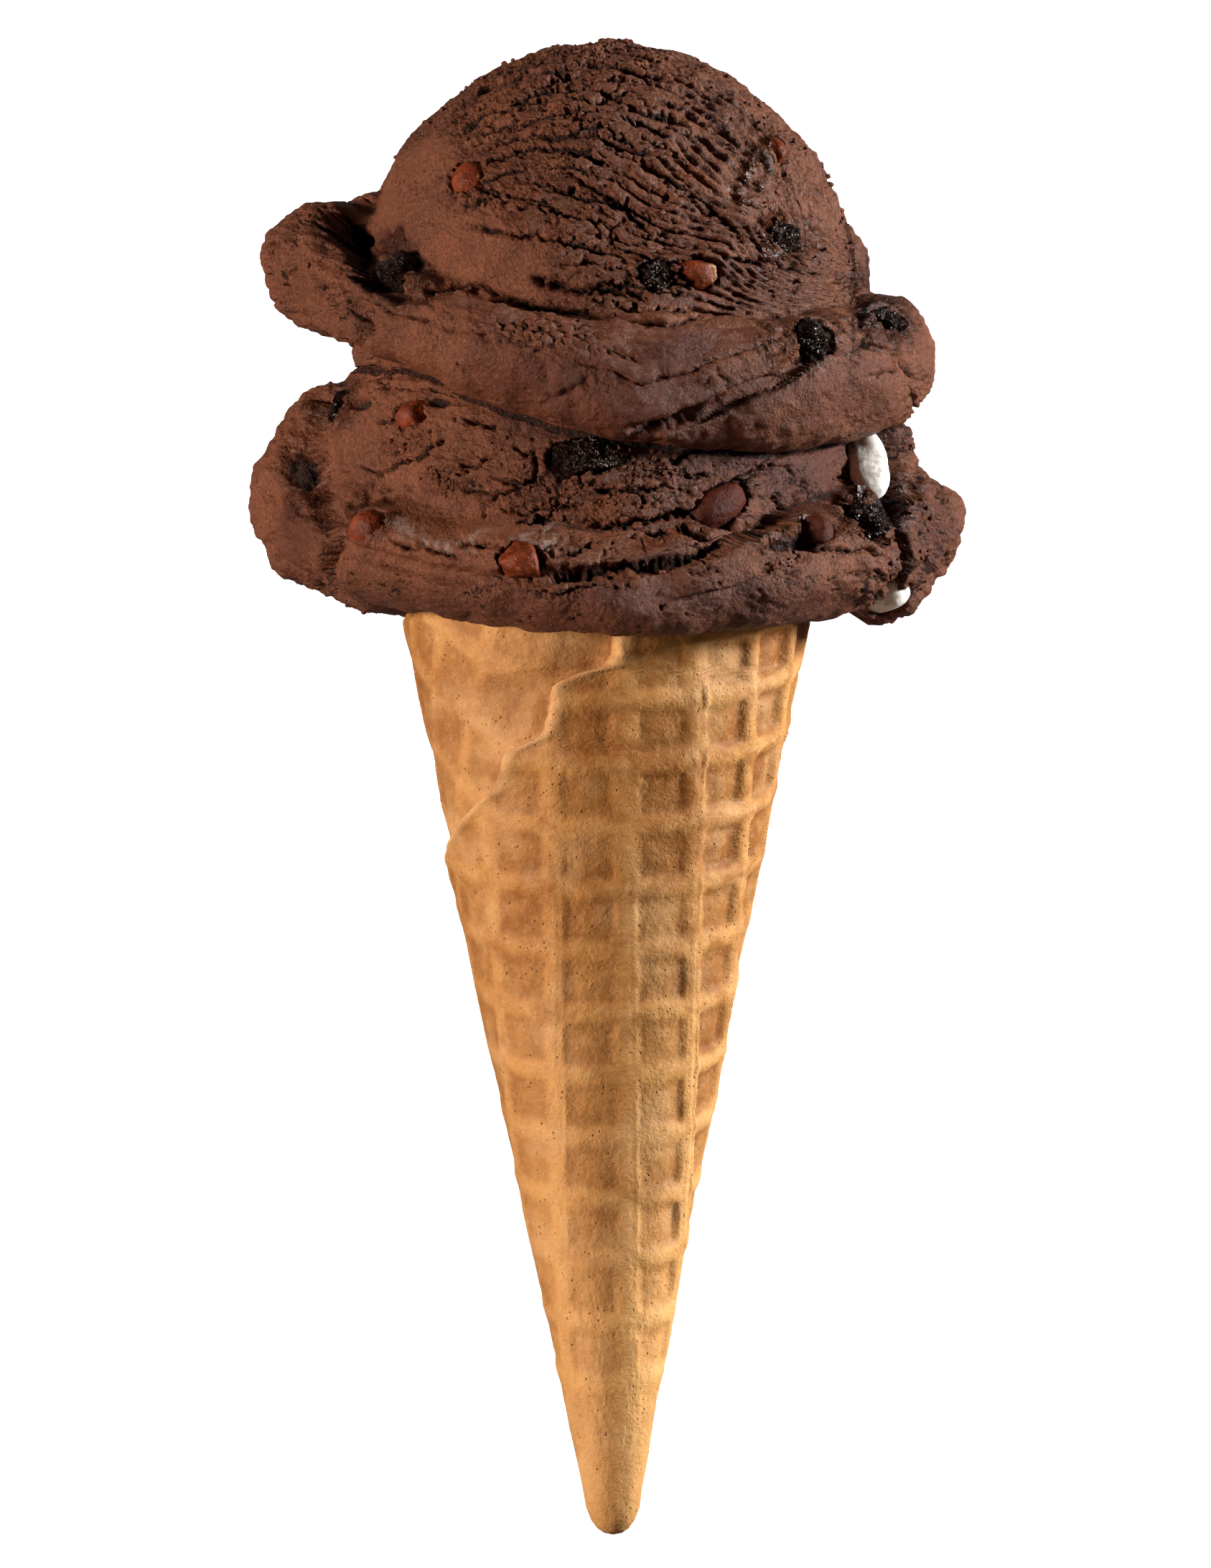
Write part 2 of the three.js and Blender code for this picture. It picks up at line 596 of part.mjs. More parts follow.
const lowerBlock = sampled(lowerField, LOWER.heart, LOWER_RINGS, COLUMNS, 0);
const lowerSwollen = sampled(lowerField, LOWER.heart, LOWER_RINGS, COLUMNS, GAP);
const upperBlock = sampled(upperField, UPPER.heart, UPPER_RINGS, COLUMNS, 0);

const lowerScoop = cutPockets(lowerBlock.subtract(ground));
const upperScoop = cutPockets(upperBlock.subtract(lowerSwollen).subtract(ground));
const cone = windSheet().add(liner());

const part = new THREE.Group();
part.position.z = AXIS_HEIGHT;
part.add(meshOf("cone", cone, COLOURS.waffle));
part.add(meshOf("lower_scoop", lowerScoop, COLOURS.chocolate));
part.add(meshOf("upper_scoop", upperScoop, COLOURS.chocolate));
PIECES.forEach((piece) => {
  const look = COLOURS[piece.name.split("_")[0]];
  part.add(meshOf(piece.name, pebbleSolid(piece, 0), look));
});

export default part;
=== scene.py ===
"""A double scoop ice cream cone: the pieces that are seen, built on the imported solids.

Shapes are worked out in millimetres with the cone's axis at z = 0, and go into Blender in metres.
The tip points to -Y and the shown side faces +Z.
"""

import math
from types import SimpleNamespace

import bmesh
import bpy
import numpy as np
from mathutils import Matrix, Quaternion, Vector


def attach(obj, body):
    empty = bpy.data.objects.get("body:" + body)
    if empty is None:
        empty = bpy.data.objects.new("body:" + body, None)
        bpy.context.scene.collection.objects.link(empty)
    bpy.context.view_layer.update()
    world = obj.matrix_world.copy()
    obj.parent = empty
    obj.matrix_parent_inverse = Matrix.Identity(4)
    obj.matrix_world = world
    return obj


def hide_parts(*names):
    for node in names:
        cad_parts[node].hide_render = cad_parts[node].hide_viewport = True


bl_info = {
    "name": "Double Scoop Ice Cream Cone",
    "version": (1, 0, 0),
    "blender": (4, 5, 0),
    "location": "View3D > Sidebar > Ice Cream",
    "description": "Two chocolate scoops with nuts, fudge and marshmallow on a rolled waffle cone",
    "category": "Object",
}

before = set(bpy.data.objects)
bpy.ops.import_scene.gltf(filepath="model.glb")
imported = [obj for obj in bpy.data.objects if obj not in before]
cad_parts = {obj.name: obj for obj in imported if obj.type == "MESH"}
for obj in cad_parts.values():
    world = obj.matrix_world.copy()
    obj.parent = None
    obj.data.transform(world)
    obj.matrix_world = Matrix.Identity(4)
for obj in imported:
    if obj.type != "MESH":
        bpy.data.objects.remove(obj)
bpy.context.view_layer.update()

# ---------------------------------------------------------------- sizes shared with the solids

MM = 0.001
GAP = 0.3
AXIS_HEIGHT = 40.5

CONE = {
    "apex_y": -110.7, "slope": 0.2005, "rim_y": 23.2, "tip_y": -97.4, "tip_round_y": -92.6,
    "wall": 2.9, "sheet": 1.5, "thin_sheet": 0.5,
    "axis_x": -0.42, "axis_lean": 0.0111, "axis_ref_y": 20.8, "floor_y": -70.0,
}
# Free edge of the rolled sheet, torn and baked: slant distance from the apex, angle round the axis.
TORN_EDGE = [(10, -200), (62, -180), (103, -90), (110.4, -52), (112.6, -42), (114, -38.3), (116.7, -35.2),
             (118.3, -32.5), (119, -27.1), (119.8, -22), (120.9, -19), (122.6, -17.3), (124.6, -16.7),
             (126.5, -15.1), (127.4, -12.8), (128.4, -8.5), (129.3, 0.9), (131.1, 3.6), (150, 5)]
WAFFLE = {"rib_u": 2.6, "pitch_u": 9.5, "rib_v": 124.6, "pitch_v": 8.24, "depth": 0.8,
          "foot_slant": 26.0}

UPPER = {
    "heart": (0, 53, 0),
    "dome": ((0, 62.4, -0.5), (33.3, 35.6, 33.4)),
    "reach": (42.4, 43.0, 42.2, 42.4, 42.6, 42.8, 42.8, 41.2),
    "height": (53.4, 53.0, 56.4, 59.6, 62.6, 66.4, 68.0, 60.6),
    "thick": (8.2, 8.6, 8.4, 8.2, 7.6, 7.4, 7.6, 6.4),
    "skirt_width": 8.5,
    "lobes": [((-36.4, 68.5, 2), (8.6, 8.5, 13)), ((35.4, 56.4, 3), (7.2, 8.4, 13)),
              ((-31.2, 76.4, 1), (2.2, 2.0, 4)), ((30.8, 67.5, 2), (3.4, 7, 6))],
    "blend": 1.8, "under": 40,
}
LOWER = {
    "heart": (0, 42, 0),
    "dome": ((-2.2, 37.6, -0.5), (36.2, 34.8, 36.4)),
    "reach": (43.0, 43.4, 44.0, 43.6, 43.8, 43.4, 44.6, 42.4),
    "height": (26.6, 29.2, 33.8, 31.0, 30.0, 32.0, 37.0, 30.6),
    "thick": (7.2, 7.4, 8.6, 8.6, 8.4, 8.8, 10.2, 7.6),
    "skirt_width": 10,
    "lobes": [((-36.6, 37.6, 2), (9.8, 11.2, 13)), ((38.2, 35.2, 3), (8.6, 8.8, 12)),
              ((-36.8, 47.2, 2), (5.2, 5.6, 6)), ((36.2, 27.0, 4), (5.6, 5.0, 8))],
    "blend": 2.2, "under": 24,
    "torn_bit": ((36.6, 44.2, 4), (3.4, 4.4, 5)),
}
HEM = {"radius": 28.3, "y": 25, "fall": 0.55}
SEAT = {"top": 57.5, "lean": -0.15, "drop": 0.0055}
PLUG_DEPTH = 14

# Creases of the solids: points across the front, half width.
UPPER_CREASES = [
    ([(-32, 63), (-30.5, 60), (-30.5, 56)], 1.2),
    ([(4, 46.3), (14, 49), (21, 52.5), (26.5, 56.5)], 1.2),
    ([(-24, 64.4), (-16, 64.6), (-8, 62.4), (0, 61.2), (8, 60.4), (15, 61.4)], 1.6),
    ([(-34.0, 74.6), (-32.2, 71.6), (-29.6, 67.4), (-26.5, 64.6)], 2.0),
    ([(31, 66.5), (31.5, 61.5), (35, 60)], 1.4),
]
LOWER_CREASES = [
    ([(-36.6, 51), (-37.0, 44), (-36.4, 39), (-34.2, 33), (-35, 27)], 1.6),
    ([(-33, 31), (-24, 28.4), (-16, 26.8), (-6, 28), (4, 29), (14, 31.4), (22, 35)], 1.2),
    ([(30, 37.5), (34, 34.6), (38.4, 32.6), (38.2, 27), (36.6, 23.4)], 1.4),
]

# Pieces in the scoops: name, scoop, place across the front, size, turn and side.
FRONT, BACK = 1, -1
PIECES = [
    ("nut_1", "upper", (-18.0, 79.4), (5.2, 5.2, 4.6), 20, FRONT),
    ("nut_2", "upper", (22.2, 83.0), (3.6, 4.4, 3.6), -20, FRONT),
    ("nut_3", "upper", (11.9, 66.9), (5.8, 4.4, 4.6), 8, FRONT),
    ("fudge_1", "upper", (6.2, 66.7), (4.0, 4.4, 3.6), 0, FRONT),
    ("fudge_2", "upper", (23.0, 71.8), (6.2, 4.4, 4.4), -10, FRONT),
    ("fudge_3", "upper", (-27.6, 67.0), (7.6, 6.2, 6.0), -35, FRONT),
    ("fudge_4", "upper", (26.7, 58.4), (5.4, 6.4, 5.2), -15, FRONT),
    ("fudge_5", "upper", (36.6, 61.0), (4.6, 5.4, 5.0), 10, FRONT),
    ("nut_4", "lower", (-25.3, 48.8), (6.2, 3.8, 4.0), -5, FRONT),
    ("fudge_6", "lower", (-34.6, 50.0), (2.6, 5.4, 4.4), -8, FRONT),
    ("fudge_7", "lower", (-2.9, 43.2), (9.6, 4.8, 4.4), 4, FRONT),
    ("nut_5", "lower", (14.8, 36.8), (8.8, 5.2, 5.0), 28, FRONT),
    ("nut_6", "lower", (-31.2, 34.4), (5.6, 4.6, 4.6), 5, FRONT),
    ("nut_7", "lower", (-11.0, 29.7), (6.2, 4.6, 4.6), -15, FRONT),
    ("marshmallow_1", "lower", (34.2, 41.6), (5.2, 12.4, 4.4), 8, FRONT),
    ("fudge_8", "lower", (34.2, 34.6), (5.4, 4.8, 5.0), -25, FRONT),
    ("nut_8", "lower", (27.2, 33.9), (4.4, 4.6, 4.4), 30, FRONT),
    ("marshmallow_2", "lower", (36.6, 25.2), (6.4, 4.4, 5.0), 32, FRONT),
    ("nut_9", "upper", (12.0, 78.0), (5.4, 4.6, 4.6), 30, BACK),
    ("fudge_9", "upper", (-14.0, 70.0), (6.6, 4.6, 4.6), -20, BACK),
    ("nut_10", "lower", (-20.0, 43.0), (6.0, 4.4, 4.6), 10, BACK),
    ("marshmallow_3", "lower", (20.0, 40.0), (6.4, 4.8, 4.6), -30, BACK),
]
SUNK = 0.22
# Pieces that stand more upright, out of the scoop: share of the side's direction, and how far sunk.
STANDING = {"marshmallow_1": (0.35, -0.24)}
WHOLE_NUTS = ("nut_1", "nut_5", "nut_6")
BROKEN_NUTS = ("nut_2", "nut_3", "nut_10")
# nuts painted darker: a dark glaze and painted shade
GLAZED_AND_SHADED_NUTS = ("nut_5", "nut_8")


# ---------------------------------------------------------------- sums over arrays of points

def rise(low, high, value):
    """0 below low, 1 above high and smooth between."""
    share = np.clip((value - low) / (high - low), 0, 1)
    return share * share * (3 - 2 * share)


def bump_at(value, width):
    return np.exp(-(value / width) ** 2)


def smooth_min(a, b, k):
    h = np.maximum(k - np.abs(a - b), 0) / k
    return np.minimum(a, b) - h * h * k / 4


def smooth_max(a, b, k):
    return -smooth_min(-a, -b, k)


def unit(vector):
    vector = np.asarray(vector, float)
    return vector / np.maximum(np.linalg.norm(vector, axis=-1, keepdims=True), 1e-9)


class Noise:
    """Seeded gradient noise and cell noise."""

    def __init__(self, seed):
        draw = np.random.default_rng(seed)
        self.order = draw.permutation(256)
        self.ways = unit(draw.normal(size=(256, 3)))
        self.spots = draw.random((256, 3))

    def index(self, cell):
        x, y, z = (cell & 255).T
        return self.order[(self.order[(self.order[x] + y) & 255] + z) & 255]

    def smooth(self, p):
        """One octave, from about -1 to 1, with waves one unit long."""
        base = np.floor(p).astype(np.int64)
        part = p - base
        fade = part ** 3 * (part * (part * 6 - 15) + 10)
        total = np.zeros(len(p))
        for corner in np.ndindex(2, 2, 2):
            way = self.ways[self.index(base + corner)]
            slope = ((part - corner) * way).sum(1)
            share = np.where(np.array(corner) == 1, fade, 1 - fade).prod(1)
            total += share * slope
        return total * 1.7

    def layered(self, p, octaves=3, keep=0.5):
        total, size, scale = 0.0, 1.0, 1.0
        for octave in range(octaves):
            total = total + size * self.smooth(p * scale + 17.3 * octave)
            size *= keep
            scale *= 2.03
        return total

    def cells(self, p):
        """Distances to the nearest and second nearest of scattered spots, and the nearest's own value."""
        base = np.floor(p).astype(np.int64)
        near = np.full(len(p), 9.0)
        second = np.full(len(p), 9.0)
        value = np.zeros(len(p))
        for step in np.ndindex(3, 3, 3):
            cell = base + np.array(step) - 1
            spot = self.index(cell)
            away = np.linalg.norm(cell + self.spots[spot] - p, axis=1)
            second = np.minimum(second, np.maximum(near, away))
            value = np.where(away < near, spot / 255, value)
            near = np.minimum(near, away)
        return near, second, value


# ---------------------------------------------------------------- the solids' own fields

def ellipsoid(p, centre, radii):
    q = (p - centre) / radii
    near = np.linalg.norm(q, axis=1)
    steep = np.linalg.norm(q / radii, axis=1)
    return near * (near - 1) / np.maximum(steep, 1e-6)


def around(values, turn):
    """Smooth values round eight stations, at a turn in degrees."""
    values = np.array(values, float)
    place = (turn / 360 % 1) * len(values)
    index = np.floor(place).astype(int)
    t = place - index
    a, b, c, d = (values[(index + step) % len(values)] for step in (-1, 0, 1, 2))
    return b + t * (c - a + t * (2 * a - 5 * b + 4 * c - d + t * (3 * (b - c) + d - a))) / 2


def skirt(p, scoop):
    turn = np.degrees(np.arctan2(p[:, 0], p[:, 2]))
    width = scoop["skirt_width"]
    thick = around(scoop["thick"], turn)
    out = np.hypot(p[:, 0], p[:, 2]) - around(scoop["reach"], turn) + width
    up = p[:, 1] - around(scoop["height"], turn)
    near = np.hypot(out / width, up / thick)
    steep = np.hypot(out / width ** 2, up / thick ** 2)
    return near * (near - 1) / np.maximum(steep, 1e-6)


def swell(p):
    x, y, z = p.T
    broad = np.sin(0.19 * x + 1.3) * np.sin(0.23 * y + 0.4) * np.sin(0.21 * z + 2.2)
    fine = np.sin(0.47 * x + 0.31 * z + 0.8) * np.sin(0.52 * y - 0.22 * x + 1.9)
    return 0.6 * broad + 0.3 * fine


def dome_and_side(p, scoop):
    side = skirt(p, scoop)
    for centre, radii in scoop["lobes"]:
        side = smooth_min(side, ellipsoid(p, centre, radii), scoop["blend"])
    dome = smooth_max(ellipsoid(p, *scoop["dome"]), scoop["under"] - p[:, 1], 3)
    return dome, side


def scoop_body(p, scoop):
    dome, side = dome_and_side(p, scoop)
    return smooth_min(dome, side, scoop["blend"]) - swell(p)


def cone_radius(y):
    straight = CONE["slope"] * (y - CONE["apex_y"])
    share = (CONE["tip_round_y"] - y) / (CONE["tip_round_y"] - CONE["tip_y"])
    top = CONE["slope"] * (CONE["tip_round_y"] - CONE["apex_y"])
    rounded = top * np.sqrt(np.clip(1 - share * share, 0, 1))
    return np.where(y >= CONE["tip_round_y"], straight, rounded)


def cone_axis_x(y):
    return CONE["axis_x"] + CONE["axis_lean"] * (CONE["axis_ref_y"] - y)


def plug(p):
    x, y, z = p.T
    inside = np.hypot(x - cone_axis_x(y), z) - cone_radius(y) + CONE["wall"] + 2 * GAP
    foot = CONE["rim_y"] - PLUG_DEPTH - y
    return smooth_max(smooth_max(inside, foot, 3), y - LOWER["heart"][1], 3)


def segment_distance(p, a, b):
    along = b - a
    share = np.clip((p - a) @ along / (along @ along), 0, 1)
    return np.linalg.norm(p - a - share[:, None] * along, axis=1)


def with_creases(p, value, creases):
    for points, half in creases:
        near = np.min([segment_distance(p, a, b) for a, b in zip(points, points[1:])], axis=0)
        value = smooth_max(value, half - near, 1)
    return value


def upper_plain(p):
    return scoop_body(p, UPPER)


def lower_plain(p):
    x, y, z = p.T
    hem = HEM["y"] - HEM["fall"] * (np.hypot(x, z) - HEM["radius"]) - y
    seat = y - SEAT["top"] - SEAT["lean"] * x + SEAT["drop"] * (x * x + z * z)
    pressed = smooth_max(np.maximum(scoop_body(p, LOWER), hem), seat, 4)
    return np.minimum(smooth_min(pressed, ellipsoid(p, *LOWER["torn_bit"]), LOWER["blend"]), plug(p))


# Searches for a surface, in millimetres: where one starts outside it, its step, and how often the last
# step is halved.
FRONT_SEARCH = {"start": 60.0, "step": 0.5, "steps": 110, "halvings": 16}
HEART_SEARCH = {"start": 66.0, "step": 0.7, "halvings": 11}
LIFT_SEARCH = {"highest": 34.0, "halvings": 14}


def surface_z(field, places, side=FRONT):
    """Height of the field's surface over places across the front, or under them from behind."""
    places = np.atleast_2d(np.asarray(places, float))
    start = np.full(len(places), FRONT_SEARCH["start"] * side)
    step = FRONT_SEARCH["step"] * side
    points = np.column_stack([places, start])
    for _ in range(FRONT_SEARCH["steps"]):
        outside = (field(points) > 0) & (points[:, 2] * side > 0)
        points[outside, 2] -= step
    low, high = points[:, 2].copy(), points[:, 2] + step
    for _ in range(FRONT_SEARCH["halvings"]):
        middle = (low + high) / 2
        points[:, 2] = middle
        out = field(points) > 0
        high, low = np.where(out, middle, high), np.where(out, low, middle)
    return low


def placed(field, creases):
    found = []
    for path, half in creases:
        heights = surface_z(field, path)
        found.append((np.column_stack([np.array(path, float), heights]), half))
    return found


UPPER_PLACED = placed(upper_plain, UPPER_CREASES)
LOWER_PLACED = placed(lower_plain, LOWER_CREASES)


def upper_field(p):
    return with_creases(p, upper_plain(p), UPPER_PLACED)


def lower_field(p):
    return with_creases(p, lower_plain(p), LOWER_PLACED)


FIELDS = {"upper": upper_field, "lower": lower_field}


def slope_of(field, p, step=0.3):
    """Outward direction of a field's surface."""
    slope = [field(p + step * way) - field(p - step * way) for way in np.eye(3)]
    return unit(np.column_stack(slope))


# ---------------------------------------------------------------- relief of the ice cream

def zone(p, x, y, wide, tall, turn=0.0, soft=0.35):
    """How far a point of the shown side is inside an ellipse, from 0 to 1."""
    c, s = math.cos(math.radians(turn)), math.sin(math.radians(turn))
    dx, dy = p[:, 0] - x, p[:, 1] - y
    reach = np.hypot((dx * c + dy * s) / wide, (dy * c - dx * s) / tall)
    return (1 - rise(1 - soft, 1 + soft, reach)) * rise(-3, 5, p[:, 2])


def zones(p, places):
    total = np.zeros(len(p))
    for place in places:
        total = np.maximum(total, zone(p, *place))
    return total


def line_side(p, path):
    """Signed distance from a line across the front, above it positive, and how far the ends are."""
    path = np.array(path, float)
    steps = np.linalg.norm(np.diff(path, axis=0), axis=1)
    starts = np.concatenate([[0], np.cumsum(steps)])
    best = np.full(len(p), 99.0)
    side = np.full(len(p), 99.0)
    along = np.zeros(len(p))
    for index, (a, b) in enumerate(zip(path, path[1:])):
        way = b - a
        share = np.clip((p - a) @ way / (way @ way), 0, 1)
        off = p - a - share[:, None] * way
        away = np.hypot(off[:, 0], off[:, 1])
        turn = np.where(way[0] * off[:, 1] - way[1] * off[:, 0] >= 0, 1, -1)
        nearer = away < best
        best = np.where(nearer, away, best)
        side = np.where(nearer, turn * away, side)
        along = np.where(nearer, starts[index] + share * steps[index], along)
    return side, np.minimum(along, starts[-1] - along)


def lip_and_notch(side, lip, reach, notch, width):
    """Height across a crack: a raised lip on the upper side and a groove under it."""
    above = lip * np.exp(-np.maximum(side, 0) / reach) * rise(-0.15, 0.25, side)
    groove = -notch * bump_at(side + 0.5 * width, width)
    return above + groove


# Cracks and folds: points across the front, groove depth and half width, lip height and reach.
UPPER_CRACKS = [
    ([(-19.2, 73.9), (-13.6, 72.5), (-7.9, 71.1), (-2.3, 70.5), (3.3, 68.8)], 1.3, 0.45, 0.5, 2.0),
    ([(-14.5, 84.3), (-9.8, 85.1), (-1.4, 84.8), (2.0, 83.5), (6.8, 82.8)], 1.2, 0.5, 0.5, 1.6),
    ([(-5.1, 80.0), (-0.4, 77.5), (2.4, 75.3), (6.6, 72.1)], 1.2, 0.5, 0.5, 1.8),
    ([(-19.2, 78.9), (-16.2, 78.3), (-13.6, 77.4), (-8, 76.6), (-4, 74.2)], 0.9, 0.35, 0.3, 1.5),
    ([(-15.8, 89.0), (-13.6, 88.7), (-8.9, 88.7), (-6.1, 88.3)], 1.1, 0.4, 0.3, 1.2),
    ([(-2.4, 89.2), (1.8, 89.6), (6, 87.6), (10.4, 86.4)], 1.0, 0.45, 0.3, 1.2),
    ([(-20.9, 86.0), (-18.3, 86.6), (-13.9, 86.6)], 1.0, 0.5, 0.3, 1.2),
    ([(-4.2, 95.1), (-1.4, 94.9), (3.3, 94.1), (9.0, 92.3)], 1.0, 0.45, 0.4, 1.4),
    ([(-9.8, 91.8), (-5.1, 93.0), (-1.4, 93.7)], 0.9, 0.4, 0.3, 1.2),
    ([(6.3, 71.6), (9.9, 72.5), (14.6, 73.5), (20.3, 72.5)], 0.8, 0.4, 0.4, 1.5),
    ([(4.8, 80.6), (10.2, 78.2), (14.4, 74.8), (19, 70.4)], 0.9, 0.45, 0.4, 1.5),
    ([(13.4, 69.4), (18.6, 68.6), (24.4, 67.6), (29.8, 67.0)], 0.9, 0.4, 0.4, 1.4),
    ([(9.4, 88.4), (15.2, 85.4), (19.4, 81.6)], 0.8, 0.4, 0.3, 1.2),
    ([(-9.6, 67.4), (-7.8, 65.8), (-3.5, 65.0), (1.8, 64.6), (6.2, 64.6)], 1.9, 0.8, 0.3, 2.5),
    ([(-18.3, 64.6), (-16.1, 65.0), (-12.5, 63.7), (-9.2, 62.7), (-5.7, 62.0), (-0.1, 61.0)],
     1.8, 0.5, 0.3, 2.0),
    ([(-0.1, 61.0), (2.0, 60.7), (4.7, 59.9), (8.3, 60.4), (10.9, 61.0), (14.8, 62.4)],
     0.9, 0.35, 0.2, 1.5),
    ([(-24.6, 64.0), (-21, 64.9), (-18.3, 65.4), (-16, 65.3)], 1.4, 0.5, 0.2, 1.5),
    ([(-21.9, 60.0), (-17.6, 59.2), (-15.5, 58.5), (-14.0, 58.8)], 0.8, 0.3, 0.2, 1.0),
    ([(-15.2, 60.3), (-11.3, 59.8), (-7.8, 59.2), (-4.7, 59.0), (-3.1, 59.5)], 0.7, 0.3, 0.2, 1.0),
    ([(-3.0, 57.0), (-1.8, 56.6), (-0.1, 56.6), (2.5, 56.0), (5.0, 55.3)], 0.7, 0.35, -0.4, 1.4),
    ([(-7.0, 57.0), (-8.7, 56.6), (-10.0, 55.5), (-10.9, 54.5)], 0.4, 0.3, -0.4, 2.0),
    ([(-10.0, 49.3), (-7.8, 50.3), (-4.7, 51.7), (-3.0, 52.3), (-1.8, 54.0)], 0.6, 0.8, 0.2, 2.0),
    ([(39.0, 46.5), (40.0, 50), (39.8, 53.5), (37.8, 56.2), (34.5, 57.6), (31, 57.9)], 1.4, 0.6, 0.6, 2.4),
    ([(-32.6, 75.2), (-31.4, 71.0), (-31.0, 66.6), (-29.4, 63.6)], 1.4, 0.8, -0.5, 2.0),
    ([(-30.7, 58.0), (-30.9, 60.3), (-30.8, 62.9)], 1.2, 0.45, 0.2, 1.6),
    ([(-21.9, 60.0), (-22.4, 60.5), (-26.8, 61.6), (-30.3, 63.4)], 0.8, 0.4, 0.5, 3.0),
    ([(-35.5, 67.4), (-36.4, 66.0), (-37.2, 64.9), (-37.3, 62.7)], 1.3, 0.5, 0.3, 1.4),
    ([(-33.2, 64.3), (-31.9, 63.1)], 0.9, 0.4, 0.1, 1.2),
    ([(-27.2, 60.7), (-25.9, 59.1), (-25.4, 57.4)], 0.7, 0.35, 0.2, 1.4),
    ([(-39.4, 75.4), (-40.4, 72.1), (-41.1, 69.0), (-40.5, 66.5)], 1.0, 1.0, 0.5, 2.0),
    ([(-37.2, 62.9), (-36.1, 62.6), (-34.8, 62.6)], 0.7, 0.3, 0.2, 1.2),
    ([(-39.5, 71.0), (-41, 67.6), (-41.4, 64.2)], 0.5, 0.4, 0.3, 1.5),
    ([(32.9, 53.1), (35.8, 54.3), (38.7, 55.0)], 0.9, 0.35, 0.3, 1.5),
    ([(28.2, 54.4), (30.4, 55.4), (33.8, 55.0)], 0.6, 0.35, 0.2, 1.2),
    ([(33.6, 64.4), (33.2, 60.4), (34.4, 57.6)], 0.9, 0.6, 0.2, 1.2),
]
UPPER_FOLDS = [
    ([(3.0, 46.8), (9.0, 48.7), (13.7, 50.8), (18.5, 53.0), (23.2, 54.8)], 1.1, 0.5, 0.8, 3.0),
    ([(10.0, 47.0), (16.9, 50.2), (21.1, 52.2), (25.3, 54.1)], 0.7, 0.4, 0.5, 2.0),
    ([(-4.2, 55.3), (0.0, 54.5), (4.8, 52.2), (9.5, 53.5), (13.7, 55.3), (19.0, 57.2), (22.7, 59.0)],
     0.6, 0.3, 0.4, 1.6),
    ([(-26, 53.6), (-18.0, 50.4), (-9.4, 47.6), (-4.0, 46.6)], 0.4, 0.5, 0.3, 2.4),
]
